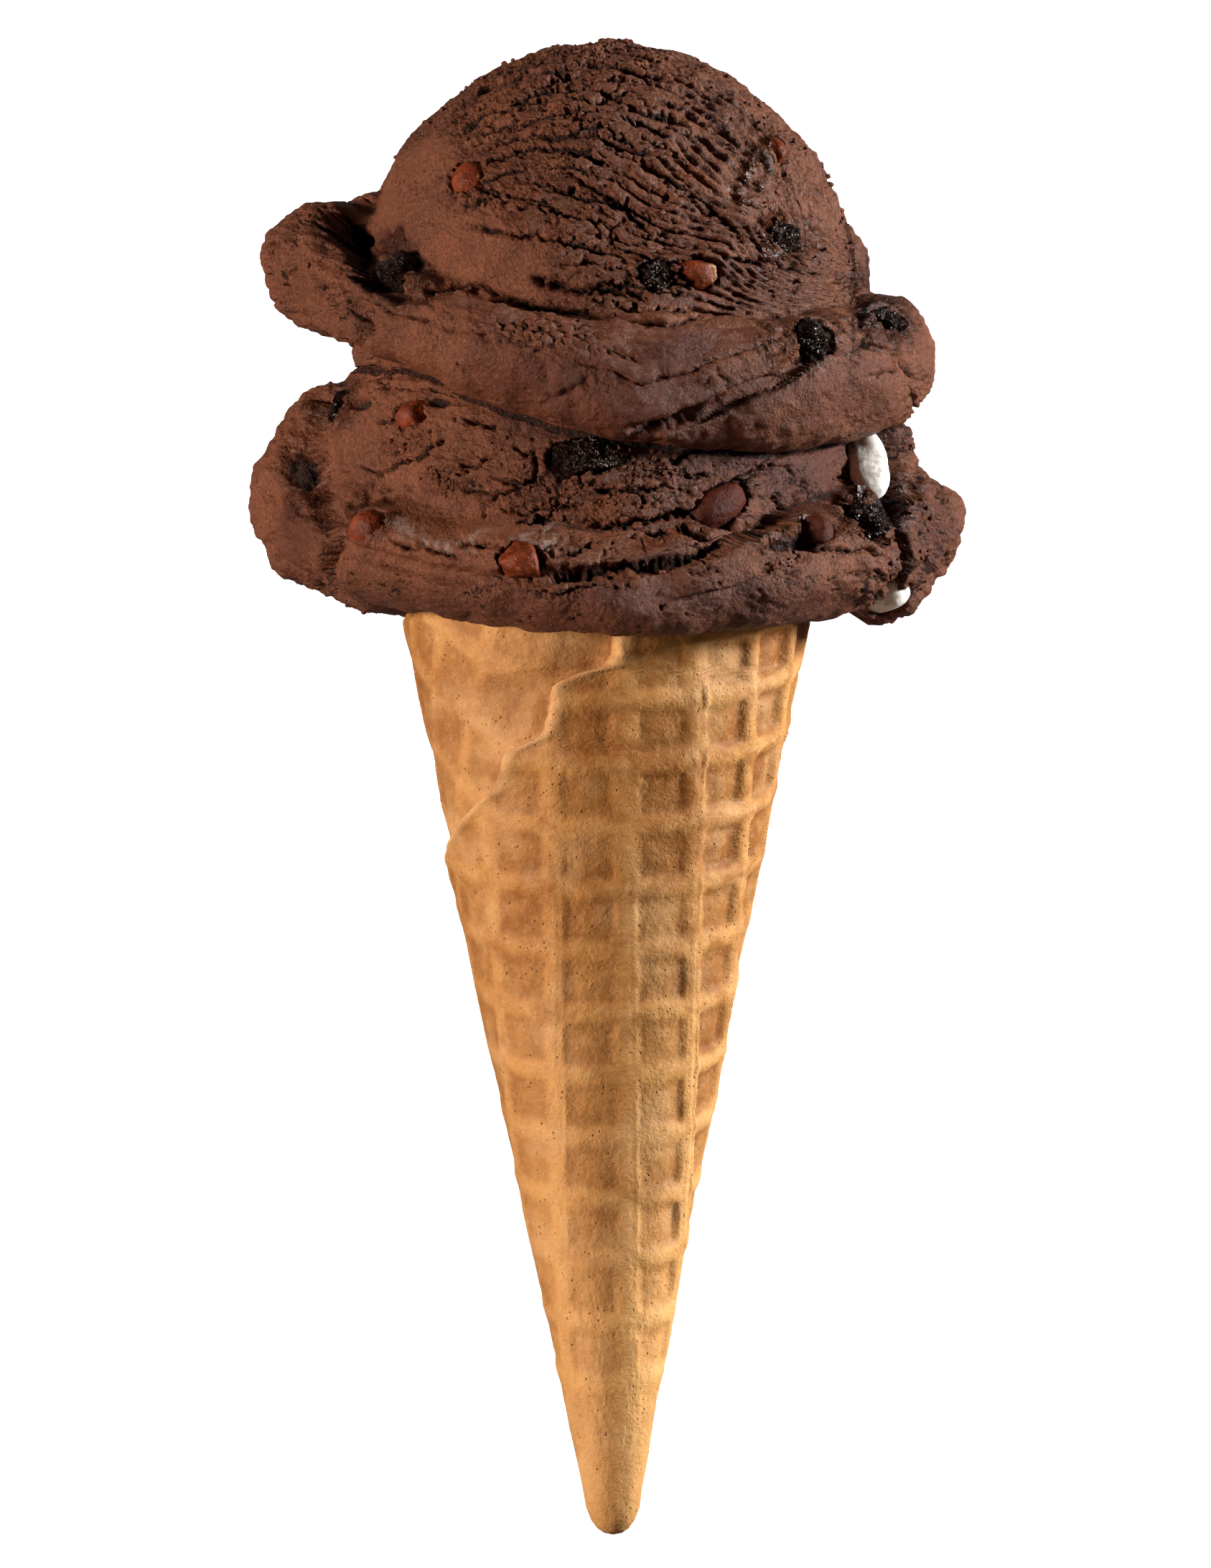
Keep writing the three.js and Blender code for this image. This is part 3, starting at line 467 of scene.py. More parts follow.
LOWER_CRACKS = [
    ([(-34.1, 41.7), (-31.5, 42.4), (-29.8, 41.7), (-28.8, 41.2), (-26.7, 42.7), (-24.5, 43.0),
      (-22.5, 44.7), (-20.7, 45.7), (-19.5, 45.4)], 1.1, 0.3, 0.4, 1.6),
    ([(-18.8, 49.0), (-17.4, 48.0), (-15.2, 47.2), (-12.9, 47.3)], 1.4, 0.4, 0.3, 1.2),
    ([(-12.2, 45.3), (-10.7, 43.8), (-9.4, 43.2), (-8.9, 41.5), (-9.2, 39.7), (-11.1, 39.0),
      (-14.0, 38.2), (-15.7, 36.4), (-15.8, 34.2)], 1.1, 0.35, -0.3, 1.4),
    ([(-19.7, 39.7), (-18.5, 39.1), (-15.0, 38.6), (-14.1, 37.6)], 0.9, 0.3, 0.3, 1.2),
    ([(-20.3, 42.0), (-16.2, 42.3), (-15.9, 43.0), (-13.4, 43.9)], 0.7, 0.25, 0.2, 1.2),
    ([(-28.2, 32.9), (-26.0, 32.1), (-23.5, 31.6), (-21.8, 31.0), (-19.7, 30.6), (-18.2, 29.8)],
     1.5, 0.45, 0.5, 2.6),
    ([(-19.5, 31.9), (-16.7, 32.4), (-15.7, 31.9), (-13.7, 31.9), (-13.4, 30.6)],
     1.7, 0.5, 0.4, 1.6),
    ([(-36.4, 31.9), (-35.7, 29.9), (-35.2, 28.1), (-33.9, 25.8)], 1.1, 0.45, 0.2, 1.4),
    ([(-33.0, 29.0), (-32.7, 27.8)], 0.8, 0.4, 0.0, 1.0),
    ([(-27.2, 46.8), (-28.6, 44.3)], 1.0, 0.6, 0.2, 1.0),
    ([(-26.3, 41.0), (-25.7, 39.6), (-24.2, 39.0)], 0.7, 0.3, 0.1, 1.0),
    ([(-31.0, 49.0), (-28.6, 48.0), (-26.0, 47.6)], 1.0, 0.4, 0.2, 1.0),
    ([(38.6, 31.2), (38.4, 28.3), (36.7, 26.5), (33.9, 24.1), (31.5, 22.9)], 1.2, 0.5, 0.4, 1.6),
    ([(25, 31.8), (29, 31.2), (33, 31.6), (36.4, 30.4)], 0.9, 0.5, 0.5, 1.6),
    ([(-2.2, 38.8), (0.4, 38.6), (3.0, 38.7), (4.7, 39.0), (7.8, 39.2)], 1.0, 0.4, 0.3, 1.2),
    ([(-2.7, 34.3), (0.0, 34.5), (3.4, 35.0), (6.3, 35.5), (9.0, 35.9), (11.0, 36.4),
      (13.8, 39.0)], 1.6, 0.55, 0.4, 1.8),
    ([(-14, 36.3), (-9.6, 36.1), (-5.4, 36.6), (-2.2, 37.4)], 0.8, 0.4, 0.2, 1.0),
    ([(8.6, 35.5), (9.0, 34.5), (11.6, 33.8), (13.1, 33.1), (15.5, 33.6), (18.5, 34.8),
      (22.1, 36.4)], 1.7, 0.6, -0.4, 1.8),
    ([(-7.6, 27.6), (-2.7, 28.0), (0.0, 28.4), (3.4, 29.0), (6.8, 29.3), (9.9, 30.3),
      (13.8, 31.2)], 1.7, 0.5, 0.5, 2.0),
    ([(-12.4, 25.6), (-7.4, 25.2), (-5.2, 25.3), (-1.4, 26.6), (0.6, 26.9)], 0.9, 0.35, 0.3, 1.2),
    ([(-11.7, 31.8), (-10.0, 31.4), (-7.4, 31.5), (-6.5, 29.7)], 0.8, 0.4, 0.2, 1.2),
    ([(4.5, 32.8), (4.7, 31.2), (5.1, 29.9)], 0.6, 0.22, 0.1, 1.0),
    ([(6.6, 32.8), (7.3, 31.4)], 0.5, 0.22, 0.1, 1.0),
    ([(9.0, 40.7), (12.1, 40.9), (14.0, 40.7)], 0.9, 0.35, 0.2, 1.0),
    ([(18.9, 42.6), (21.8, 41.6), (24.3, 40.7), (26.7, 39.6), (28.4, 38.1), (29.5, 36.0)],
     0.8, 1.2, 0.0, 1.0),
    ([(21.1, 33.3), (24.3, 32.9), (26.3, 32.8), (27.6, 32.1)], 1.6, 0.8, 0.2, 1.5),
    ([(22.4, 27.8), (23.6, 28.0), (26.1, 28.8)], 0.8, 0.5, 0.3, 1.5),
    ([(31.4, 24.1), (34.1, 26.0), (35.8, 27.3), (37.3, 28.0)], 0.7, 0.3, 0.3, 1.6),
    ([(29.8, 27.8), (31.6, 27.8), (34.1, 28.0), (35.1, 28.8)], 0.8, 0.5, -0.3, 1.5),
    ([(30.1, 34.5), (30.6, 37.7), (32.5, 38.7), (33.2, 41.0), (32.3, 43.4), (31.3, 46.5)],
     1.1, 0.6, 1.0, 1.0),
    ([(33.1, 23.5), (35.3, 25.0), (37.3, 26.9), (38.4, 29.5), (37.7, 31.6)], 1.2, 0.45, 0.4, 1.5),
    ([(37.0, 46.5), (36.8, 42.5), (37.2, 38.5), (38.6, 34.5), (39.2, 31.5)], 1.6, 0.9, 0.5, 2.4),
    ([(14, 46.6), (19.4, 44.9), (25.2, 44.6), (29.4, 45.4)], 0.8, 0.6, 0.2, 1.6),
]

LOWER_FOLDS = [
    ([(-35.7, 52.1), (-38.1, 45.3), (-37.7, 37.5), (-35.2, 31.7)], 1.5, 1.0, 0.3, 2.0),
    ([(-7.7, 27.6), (-1.0, 28.6), (6.0, 29.6), (13.4, 31.4), (19.0, 33.2)], 1.2, 0.5, -0.5, 3.0),
    ([(14.6, 39.6), (18.5, 41.5), (22.0, 43.6), (26.0, 44.8)], 0.8, 0.6, 0.4, 2.4),
    ([(8.0, 24.4), (15.2, 26.2), (22.4, 29.0), (27.0, 31.2)], 0.4, 0.6, 0.5, 3.0),
    ([(-30, 24.6), (-22, 22.6), (-13, 22.4)], 0.4, 0.5, 0.3, 2.4),
]

# Torn layers: how far combing hides them, or their strength; then pitch, lip, notch, length, place in
# the noise, and how much of the surface they cover.
UPPER_TEARS = [(0.3, 5.2, 0.22, 1.2, 7, 11.0, 0.02), (0.5, 2.9, 0.16, 0.75, 5, 23.0, -0.05),
               (0.8, 1.6, 0.12, 0.42, 3.4, 37.0, -0.12)]
LOWER_TEARS = [(1.0, 4.6, 0.24, 1.1, 9, 51.0, 0.06), (0.6, 2.2, 0.14, 0.5, 5, 67.0, -0.05)]

# Places on the shown side, as ellipses: x, y, half width, half height, and for some a turn and softness.
UPPER_SMOOTH = [(-20, 69.6, 14, 5.6, -13), (-24, 81.5, 5, 3.0, 30), (-27, 75, 6, 8, 10)]
UPPER_LEFT_LOBE = [(-38, 67, 9, 9)]
UPPER_CRUMBLY = [(31.5, 58.2, 5.4, 2.6), (-34.5, 64.5, 2.2, 2.2), (41, 50, 3, 6), (36, 61, 4, 4),
                 (-33.4, 70, 2.4, 5, 10), (-9, 58.6, 8, 2)]
UPPER_PITTED = [(-12.5, 94, 8.5, 2.6, 12), (-21.8, 79.4, 3.6, 1.5), (-30, 80, 3, 5, -35)]
UPPER_HOLLOW = [(-33.2, 72.6, 1.8, 2.4, 20, 0.5)]
UPPER_WET = [(-27.4, 67, 5.4, 4.2, -30), (19.9, 80.8, 1.8, 5.6, -25), (24.4, 57.6, 5, 4.6),
             (31.5, 60.2, 4.6, 1.6, -8), (36.6, 61, 4, 4.4), (33.6, 65, 1.4, 5),
             (6.4, 66.6, 3.4, 2.6), (23, 71.6, 4.4, 3.2), (-27.2, 71.2, 1.6, 2)]
UPPER_SYRUP = [(9.4, 56.4, 6.6, 2.3, 12, 0.6), (-28.5, 70.8, 3, 2.6, 0, 0.6), (37, 61, 3.6, 4, 0, 0.6),
               (34, 64, 2, 5, 0, 0.6), (14, 67, 4, 1.8, 0, 0.6)]
# painted shade on the right end of the upper roll
UPPER_ROLL_SHADE = [(30, 51, 9, 5, 0, 0.6)]
UPPER_FROST = [(-45.2, 73.8, 1.0, 1.2), (-43.6, 75.4, 0.8, 0.8), (-40.4, 77.8, 2, 0.7),
               (27, 54.4, 1.2, 1.0), (16.2, 77.4, 1, 1)]
LOWER_SMOOTH = [(-32, 43, 4.5, 9, 8), (-28, 37, 6, 4), (-19, 34.5, 9, 3.0, -12)]
LOWER_MIDDLE = [(4, 35, 17, 9, 4, 0.5)]
LOWER_CRUMBLY = [(-7, 38.2, 6, 2.6, 8), (7, 39.4, 6.4, 2.6), (-26.5, 46, 3.4, 3.4), (-8, 41, 3, 2),
                 (20.5, 33.6, 3, 2), (22.6, 29.6, 2.6, 2.4), (-20, 40, 4, 2), (39, 29, 3, 4),
                 (-36.6, 26.4, 3, 2), (36, 49, 4, 3), (37.6, 44.6, 3, 3.4), (41, 36, 4, 7)]
LOWER_HOLLOWS = [(-40.0, 42.2, 2.6, 2.8, 0, 0.6), (-32, 50.4, 1.2, 0.8, 0, 0.6),
                 (-21.8, 50.4, 1.3, 0.7, 0, 0.6), (36.4, 37, 1.8, 2.4, 0, 0.6),
                 (25, 32.6, 4.6, 1.1, 8, 0.6)]
LOWER_WET = [(-40, 42.4, 3.4, 3.6), (-39.4, 37.4, 2.6, 2), (-36.6, 36, 3, 1.6), (-38.3, 49.7, 2, 1.8),
             (-31, 36, 4, 3.4), (23.8, 33.2, 6, 2.6, 6), (34, 36, 4.4, 4), (32.6, 41, 1.2, 6),
             (38.6, 38.4, 3, 3.6), (-34.6, 50, 2.4, 3.4), (17, 39, 3, 1)]
LOWER_SYRUP = [(1.2, 24.6, 5, 2.2, -4, 0.6), (32.4, 42, 1.4, 5, 0, 0.6), (38, 48, 3, 4, 0, 0.6),
               (-40, 33, 3, 5, 0, 0.6), (6, 29.4, 5, 1, 0, 0.6)]
# painted shade on the lower dome under the upper roll, and on the lower right lobe
LOWER_SHADE_UNDER_ROLL = [(24, 40.5, 7, 5, 0, 0.6)]
LOWER_LOBE_SHADE = [(41, 34, 5, 7, 0, 0.6)]
LOWER_FROST = [(-21.6, 31.7, 4.6, 0.5, -12, 0.5), (-17.6, 32.6, 2.4, 0.45, 18, 0.5),
               (-7.3, 32.6, 0.9, 2, 0, 0.5), (-10.6, 32.4, 1.6, 0.6, 0, 0.5),
               (-25.7, 34.0, 2.4, 1.0, -20, 0.5), (38.4, 29.4, 0.9, 0.6, 30, 0.5)]


class Flow:
    """Lines left on a dome by the scoop: round a tilted pole, and level lower down."""

    def __init__(self, centre, pole, radius, level=None):
        self.centre, self.radius, self.level = np.array(centre, float), radius, level
        self.pole = unit(pole)
        self.first = unit(np.cross(self.pole, (0.3, 0.1, 1)))
        self.second = np.cross(self.pole, self.first)

    def away(self, p):
        """Millimetres across the lines."""
        along_dome = self.radius * np.arccos(np.clip(unit(p - self.centre) @ self.pole, -1, 1))
        if self.level is None:
            return along_dome
        share = np.maximum(rise(*self.level, p[:, 1]), rise(9, 24, p[:, 0]) * rise(58, 74, p[:, 1]))
        return share * along_dome + (1 - share) * (p[:, 1] - self.level[0] + 8)

    def stretched(self, p, along, across):
        """Coordinates for noise whose marks are long along the lines and short across them."""
        q = p - self.centre
        return np.column_stack([q @ self.first / along, q @ self.second / along,
                                self.away(p) / across])

    def across_way(self, p, normal):
        """Direction in the surface that crosses the lines, towards the pole."""
        way = -np.column_stack([self.away(p + 0.3 * step) - self.away(p - 0.3 * step) for step in np.eye(3)])
        return unit(way - (normal * way).sum(1)[:, None] * normal)


UPPER_FLOW = Flow((0, 61, 0), (-0.22, -0.05, 0.97), 35, (64, 80))
LOWER_FLOW = Flow((0, 38, 0), (0.15, -0.98, -0.15), 38)


class Relief:
    """Height and finish of every point of one scoop, gathered feature by feature."""

    def __init__(self, p, noise, flow):
        self.p, self.noise, self.flow = p, noise, flow
        self.height = np.zeros(len(p))
        self.push = np.zeros(len(p))
        # marks for the paint: recesses that get painted shade in cracks, pits and hollows; lips' edges for
        # dry grains and a painted highlight; syrup patches, some of them painted shade; wet; frost
        self.marks = {name: np.zeros(len(p)) for name in ("cavity", "crest", "wet", "amber", "frost")}
        warped = p / 1.15 + 0.3 * noise.smooth(p / 1.4)[:, None]
        self.chips = noise.cells(warped)[2] - 0.5

    def mark(self, name, value):
        self.marks[name] = np.maximum(self.marks[name], np.clip(value, 0, 1))

    def running(self, on_dome, level):
        """Coordinates in millimetres whose last one crosses the marks, for finishes that follow them."""
        lines = np.where(on_dome > 0.5, self.flow.away(self.p), level)
        return np.column_stack([self.p[:, 0], self.p[:, 2] - 0.6 * self.p[:, 1], lines])

    def crack_set(self, cracks, depth, torn=1.0):
        """Cracks, or clean creases of folds where little of the edge is torn."""
        p, noise = self.p, self.noise
        rag = np.column_stack([noise.layered(p / 1.7 + 3, 3, 0.6), noise.layered(p / 1.7 + 31, 3, 0.6)])
        bend = np.column_stack([noise.smooth(p / 6 + 7), noise.smooth(p / 6 + 57)])
        flat = p[:, :2] + 0.3 * torn * rag + 0.5 * bend
        flat[:, 1] += 0.35 * torn * self.chips
        for path, notch, width, lip, reach in cracks:
            low, high = np.min(path, axis=0) - 7, np.max(path, axis=0) + 7
            near = (p[:, 2] > 0) & (flat > low).all(1) & (flat < high).all(1)
            width = 0.75 * width
            side, end = line_side(flat[near], path)
            strength = rise(-0.2, 2.2, end + 0.6 * rag[near, 0])
            strength *= 0.8 + 0.35 * torn * rag[near, 1]
            strength *= 1 - rise(4, 6.5, np.abs(side))
            self.height[near] += depth * strength * lip_and_notch(side, lip, reach, notch, width)
            # the groove under each crack is marked for painted shade
            dark = strength * bump_at(side + 0.4 * width, width + 0.15) * min(1, notch)
            self.marks["cavity"][near] = np.maximum(self.marks["cavity"][near], np.clip(dark, 0, 1))
            self.push[near] += strength * lip * 0.8 * np.exp(-np.maximum(side, 0) / 0.9) * (side > 0)

    def torn_layers(self, mask, tear, layer):
        """Layers that end in ragged lips, one above the other."""
        p, noise = self.p, self.noise
        pitch, lip, notch, length, shift, share = layer
        lip, notch = lip * tear, notch * tear
        wander = 1.7 * noise.layered(self.flow.stretched(p, 14, 9) + shift, 2)
        rag = noise.layered(p / 1.6 + shift, 3, 0.62)
        place = (self.flow.away(p) + wander + 0.4 * rag + 0.55 * self.chips) / pitch
        line = np.round(place)
        side = (place - line) * pitch
        where = self.flow.stretched(p, length, 1e9)
        where[:, 2] = line * 7.31 + shift
        strength = mask * rise(share - 0.12, share + 0.2, noise.smooth(where) + 0.2 * rag)
        groove = 0.22 + 0.03 * pitch
        self.height += strength * lip_and_notch(side, lip, 0.5 + 0.08 * pitch, notch, groove)
        self.height += 0.16 * strength * self.chips
        # painted shade in the groove under each lip, and the lip's edge marked for a painted highlight
        self.mark("cavity", strength * bump_at(side + 0.5 * groove, groove + 0.12) * min(1, notch * 1.5))
        edge = rise(-0.1, 0.25, side) * np.exp(-np.maximum(side, 0) / 0.8)
        self.mark("crest", strength * edge * min(1, 2 * lip))
        self.push += strength * lip * np.exp(-np.maximum(side, 0) / 0.7) * (side > 0)

    def combed(self, mask, pitch, high, shift):
        """Fine ridges side by side, broken into beads."""
        p, noise = self.p, self.noise
        wander = 1.1 * noise.layered(self.flow.stretched(p, 16, 7) + shift, 2) + 0.22 * noise.smooth(p / 1.3)
        wave = np.abs(np.sin(np.pi * (self.flow.away(p) + wander + 0.35 * self.chips) / pitch))
        beads = 0.75 + 0.4 * noise.smooth(self.flow.stretched(p, 2.2, pitch) + shift)
        ridge = wave ** 0.75 * beads
        self.height += mask * high * (ridge - 0.6)
        # painted shade in the valleys between the ridges
        self.mark("cavity", mask * 0.75 * rise(0.35, 0.05, wave))

    def lumps(self, mask, size, high, shift):
        self.height += mask * high * self.noise.layered(self.p / size + shift, 3)

    def crumbly(self, mask, size, high):
        """Broken crumbs with gaps between them."""
        warped = self.p / size + 0.25 * self.noise.smooth(self.p / size)[:, None]
        near, second, _ = self.noise.cells(warped)
        gap = second - near
        self.height += mask * high * (rise(0, 0.35, gap) * (1.1 - near) - 0.45)
        # painted shade in the gaps between the crumbs
        self.mark("cavity", mask * 0.8 * (1 - rise(0.02, 0.22, gap)))

    def plates(self, mask, size, deep):
        """Fine cracks that part the surface into plates."""
        q = self.p / size + 0.3 * self.noise.layered(self.p / size * 1.7, 2)[:, None]
        near, second, _ = self.noise.cells(q)
        gap = (second - near) * size
        patchy = rise(-0.1, 0.4, self.noise.smooth(self.p / (1.6 * size) + 41))
        line = mask * patchy * (1 - rise(0.05, 0.45, gap))
        self.height -= deep * line
        # painted shade in the cracks between the plates
        self.mark("cavity", 0.8 * line)

    def pits(self, mask, size, deep):
        near, _, _ = self.noise.cells(self.p / size + 5)
        hole = mask * (1 - rise(0.15, 0.42, near))
        self.height -= deep * hole
        # painted shade in the pits
        self.mark("cavity", hole)


def upper_relief(p, cares):
    relief = Relief(p, Noise(7), UPPER_FLOW)
    noise = relief.noise
    dome, side = dome_and_side(p, UPPER)
    on_dome = rise(-1.2, 1.2, side - dome)
    smooth = zones(p, UPPER_SMOOTH)
    torn = on_dome * (1 - 0.95 * smooth)
    comb = on_dome * rise(-0.25, 0.2, noise.smooth(p / 11) + (p[:, 0] - 8) / 9)
    for hidden, *layer in UPPER_TEARS:
        relief.torn_layers(torn * (1 - hidden * comb), cares.tear, layer)
    relief.combed(comb * (1 - smooth), 1.9, 1.05 * cares.comb, 3.0)
    relief.lumps(comb, 1.2, 0.14, 21.0)
    relief.lumps(torn, 1.0, 0.09, 0.0)
    relief.lumps(1 - 0.6 * smooth, 0.75, 0.05, 5.0)
    relief.lumps(on_dome, 9, 0.2, 9.0)
    # the skirt: rope-like folds, with a rough left lobe and a crumbly right end
    folded = 1 - on_dome
    relief.lumps(folded, 7, 0.5, 13.0)
    relief.lumps(folded, 2.6, 0.16, 17.0)
    turn = np.degrees(np.arctan2(p[:, 0], p[:, 2]))
    up = p[:, 1] - around(UPPER["height"], turn)
    band = folded * rise(1.5, 3.5, up)
    ropes = up + 0.6 * noise.layered(p / np.array([12, 3, 12]), 2) + 0.03 * p[:, 0]
    strand = np.abs(np.sin(np.pi * ropes / 1.5))
    relief.height += band * 0.28 * (strand ** 0.6 - 0.7)
    relief.mark("cavity", band * 0.7 * rise(0.3, 0.02, strand))
    lobe = zones(p, UPPER_LEFT_LOBE) * folded
    relief.lumps(lobe, 3.2, 0.7, 19.0)
    relief.plates(lobe + 0.5 * folded, 3.6, 0.5)
    relief.lumps(folded * (1 - lobe), 1.3, 0.08, 25.0)
    relief.crumbly(zones(p, UPPER_CRUMBLY), 1.3, 0.5)
    relief.pits(zones(p, UPPER_PITTED) * rise(-0.3, 0.2, noise.smooth(p / 2.5)), 1.5, 1.1)
    relief.pits(torn * rise(0.25, 0.5, noise.smooth(p / 3 + 3)), 1.25, 0.5)
    relief.crack_set(UPPER_CRACKS, cares.crack)
    relief.crack_set(UPPER_FOLDS, cares.crack, 0.25)
    hollow = zones(p, UPPER_HOLLOW)
    relief.height -= 3.2 * hollow
    relief.mark("cavity", hollow * 1.2)
    relief.mark("wet", hollow)
    relief.mark("wet", zones(p, UPPER_WET) * rise(-0.5, 0.2, noise.smooth(p / 2.2 + 9)))
    relief.mark("amber", zones(p, UPPER_SYRUP))
    # painted shade on the roll's right end
    relief.mark("amber", 0.35 * zones(p, UPPER_ROLL_SHADE))
    # darker, redder band low on the front of the roll
    relief.mark("amber", 0.7 * folded * rise(10, 24, p[:, 2]) * rise(-22, -8, p[:, 0]) * rise(24, 12, p[:, 0])
                * rise(58, 52, p[:, 1]))
    relief.mark("frost", zones(p, UPPER_FROST) * rise(-0.1, 0.3, noise.smooth(p / 0.9)))
    relief.coarse = np.clip(0.15 + torn * 0.6 + lobe * 0.4 - 0.5 * smooth, 0, 1)
    relief.flow_place = relief.running(on_dome, ropes)
    return relief


def lower_relief(p, cares):
    relief = Relief(p, Noise(19), LOWER_FLOW)
    noise = relief.noise
    dome, side = dome_and_side(p, LOWER)
    on_dome = rise(-1.2, 1.2, side - dome)
    smooth = zones(p, LOWER_SMOOTH)
    middle = zones(p, LOWER_MIDDLE)
    behind = rise(4, -8, p[:, 2])
    torn = np.clip(on_dome * (0.55 + 0.45 * behind) + middle, 0, 1) * (1 - 0.9 * smooth)
    for strength, *layer in LOWER_TEARS:
        relief.torn_layers(strength * torn, cares.tear, layer)
    relief.lumps(np.ones(len(p)), 8, 0.45, 3.0)
    relief.lumps(1 - smooth, 2.2, 0.12, 7.0)
    relief.lumps(1 - 0.6 * smooth, 0.75, 0.06, 11.0)
    relief.plates((1 - 0.7 * smooth) * (1 - middle) * on_dome, 4.2, 0.5)
    crumbs = zones(p, LOWER_CRUMBLY)
    relief.crumbly(crumbs * rise(-0.4, 0.1, noise.smooth(p / 2.6)), 1.2, 0.3)
    roll = (1 - on_dome) * rise(8, 20, p[:, 2])
    relief.crumbly(roll * rise(0.0, 0.4, noise.smooth(p / 5 + 2)) * rise(31, 27, p[:, 1]), 1.1, 0.14)
    relief.pits((1 - smooth) * rise(0.3, 0.6, noise.smooth(p / 3 + 3)), 1.2, 0.4)
    lobes = (1 - on_dome) * rise(30, 36, np.abs(p[:, 0]))
    relief.lumps(lobes, 3.4, 0.75, 29.0)
    relief.plates(lobes * (p[:, 0] > 0), 2.6, 0.6)
    relief.crack_set(LOWER_CRACKS, 1.1 * cares.crack)
    relief.crack_set(LOWER_FOLDS, cares.crack, 0.3)
    hollow = zones(p, LOWER_HOLLOWS)
    relief.height -= 1.7 * hollow
    relief.mark("cavity", hollow)
    relief.mark("wet", zones(p, LOWER_WET) * rise(-0.5, 0.2, noise.smooth(p / 2.2 + 9)))
    relief.mark("amber", zones(p, LOWER_SYRUP) * 0.8)
    # darker, redder band low on the lower roll
    relief.mark("amber", 0.45 * (1 - on_dome) * rise(-38, -24, p[:, 0]) * rise(30, 24, p[:, 1]))
    covered = upper_field(p)
    # painted shade on the lower dome under the upper roll and on the right lobe; then, close under the upper
    # scoop, painted shade and a painted contact shadow
    relief.mark("amber", zones(p, LOWER_SHADE_UNDER_ROLL))
    relief.mark("amber", 0.6 * zones(p, LOWER_LOBE_SHADE))
    relief.mark("amber", 0.9 * rise(6, 1.5, covered) * rise(-20, -8, p[:, 0]))
    relief.mark("cavity", 0.8 * rise(1.4, 0.5, covered))
    relief.mark("frost", zones(p, LOWER_FROST) * rise(-0.3, 0.4, noise.layered(p / 1.1, 2)))
    relief.coarse = np.clip(0.2 + 0.3 * torn + 0.6 * crumbs - 0.5 * smooth, 0, 1)
    relief.flow_place = relief.running(on_dome, p[:, 1] - 0.12 * np.hypot(p[:, 0], p[:, 2]))
    return relief


# ---------------------------------------------------------------- meshes

def star_ways(columns, spans):
    """Directions from a heart: rings from top to bottom, closer together on the shown side."""
    even = np.linspace(-math.pi, math.pi, columns, endpoint=False)
    azimuth = even - 0.62 * np.sin(even)
    elevation = np.radians(np.concatenate([np.linspace(a, b, n, endpoint=False) for a, b, n in spans]))
    flat = np.cos(elevation)[:, None]
    ways = np.stack([flat * np.sin(azimuth), np.sin(elevation)[:, None] * np.ones(columns),
                     flat * np.cos(azimuth)], axis=-1)
    return np.vstack([[(0, 1, 0)], ways.reshape(-1, 3), [(0, -1, 0)]])


def star_faces(rows, columns):
    ids = 1 + np.arange(rows * columns).reshape(rows, columns)
    right = np.roll(ids, -1, axis=1)
    top = np.column_stack([np.zeros(columns, int), ids[0], right[0]])
    high, high_next, low, low_next = (part.ravel() for part in (ids[:-1], right[:-1], ids[1:], right[1:]))
    bands = np.vstack([np.column_stack([high, low, low_next]), np.column_stack([high, low_next, high_next])])
    last = np.full(columns, 1 + rows * columns)
    bottom = np.column_stack([last, right[-1], ids[-1]])
    return np.vstack([top, bands, bottom])


def reach_along(field, heart, ways):
    """Distance from the heart to the field's surface along each way, found from outside."""
    far = np.full(len(ways), HEART_SEARCH["start"])
    open_rays = np.arange(len(ways))
    while len(open_rays):
        values = field(heart + ways[open_rays] * far[open_rays, None])
        open_rays = open_rays[values > 0]
        far[open_rays] -= HEART_SEARCH["step"]
    low, high = far, far + HEART_SEARCH["step"]
    for _ in range(HEART_SEARCH["halvings"]):
        middle = (low + high) / 2
        out = field(heart + ways * middle[:, None]) > 0
        high, low = np.where(out, middle, high), np.where(out, low, middle)
    return low


def lifted_off(p, field, level):
    """Points below a field's level are moved up along Y onto it."""
    p = p.copy()
    under = np.flatnonzero(field(p) < level)
    if not len(under):
        return p
    low, high = np.zeros(len(under)), np.full(len(under), LIFT_SEARCH["highest"])
    for _ in range(LIFT_SEARCH["halvings"]):
        middle = (low + high) / 2
        below = field(p[under] + middle[:, None] * (0, 1, 0)) < level
        low, high = np.where(below, middle, low), np.where(below, high, middle)
    p[under, 1] += high
    return p


def piece_frames():
    """Where each piece in the scoops sits: centre and turn."""
    frames = {}
    for name, where, place, size, turn, side in PIECES:
        field = FIELDS[where]
        point = np.array([[*place, surface_z(field, place, side)[0]]])
        upright, sunk = STANDING.get(name, (0, SUNK))
        normal = (Vector(slope_of(field, point, 0.6)[0]) + Vector((0, 0, side * upright))).normalized()
        tilt = Vector((0, 0, side)).rotation_difference(normal)
        spin = Quaternion((0, 0, 1), math.radians(turn))
        centre = Vector(point[0]) - normal * sunk * size[2]
        frames[name] = (centre, tilt @ spin)
    return frames


PIECE_FRAMES = piece_frames()


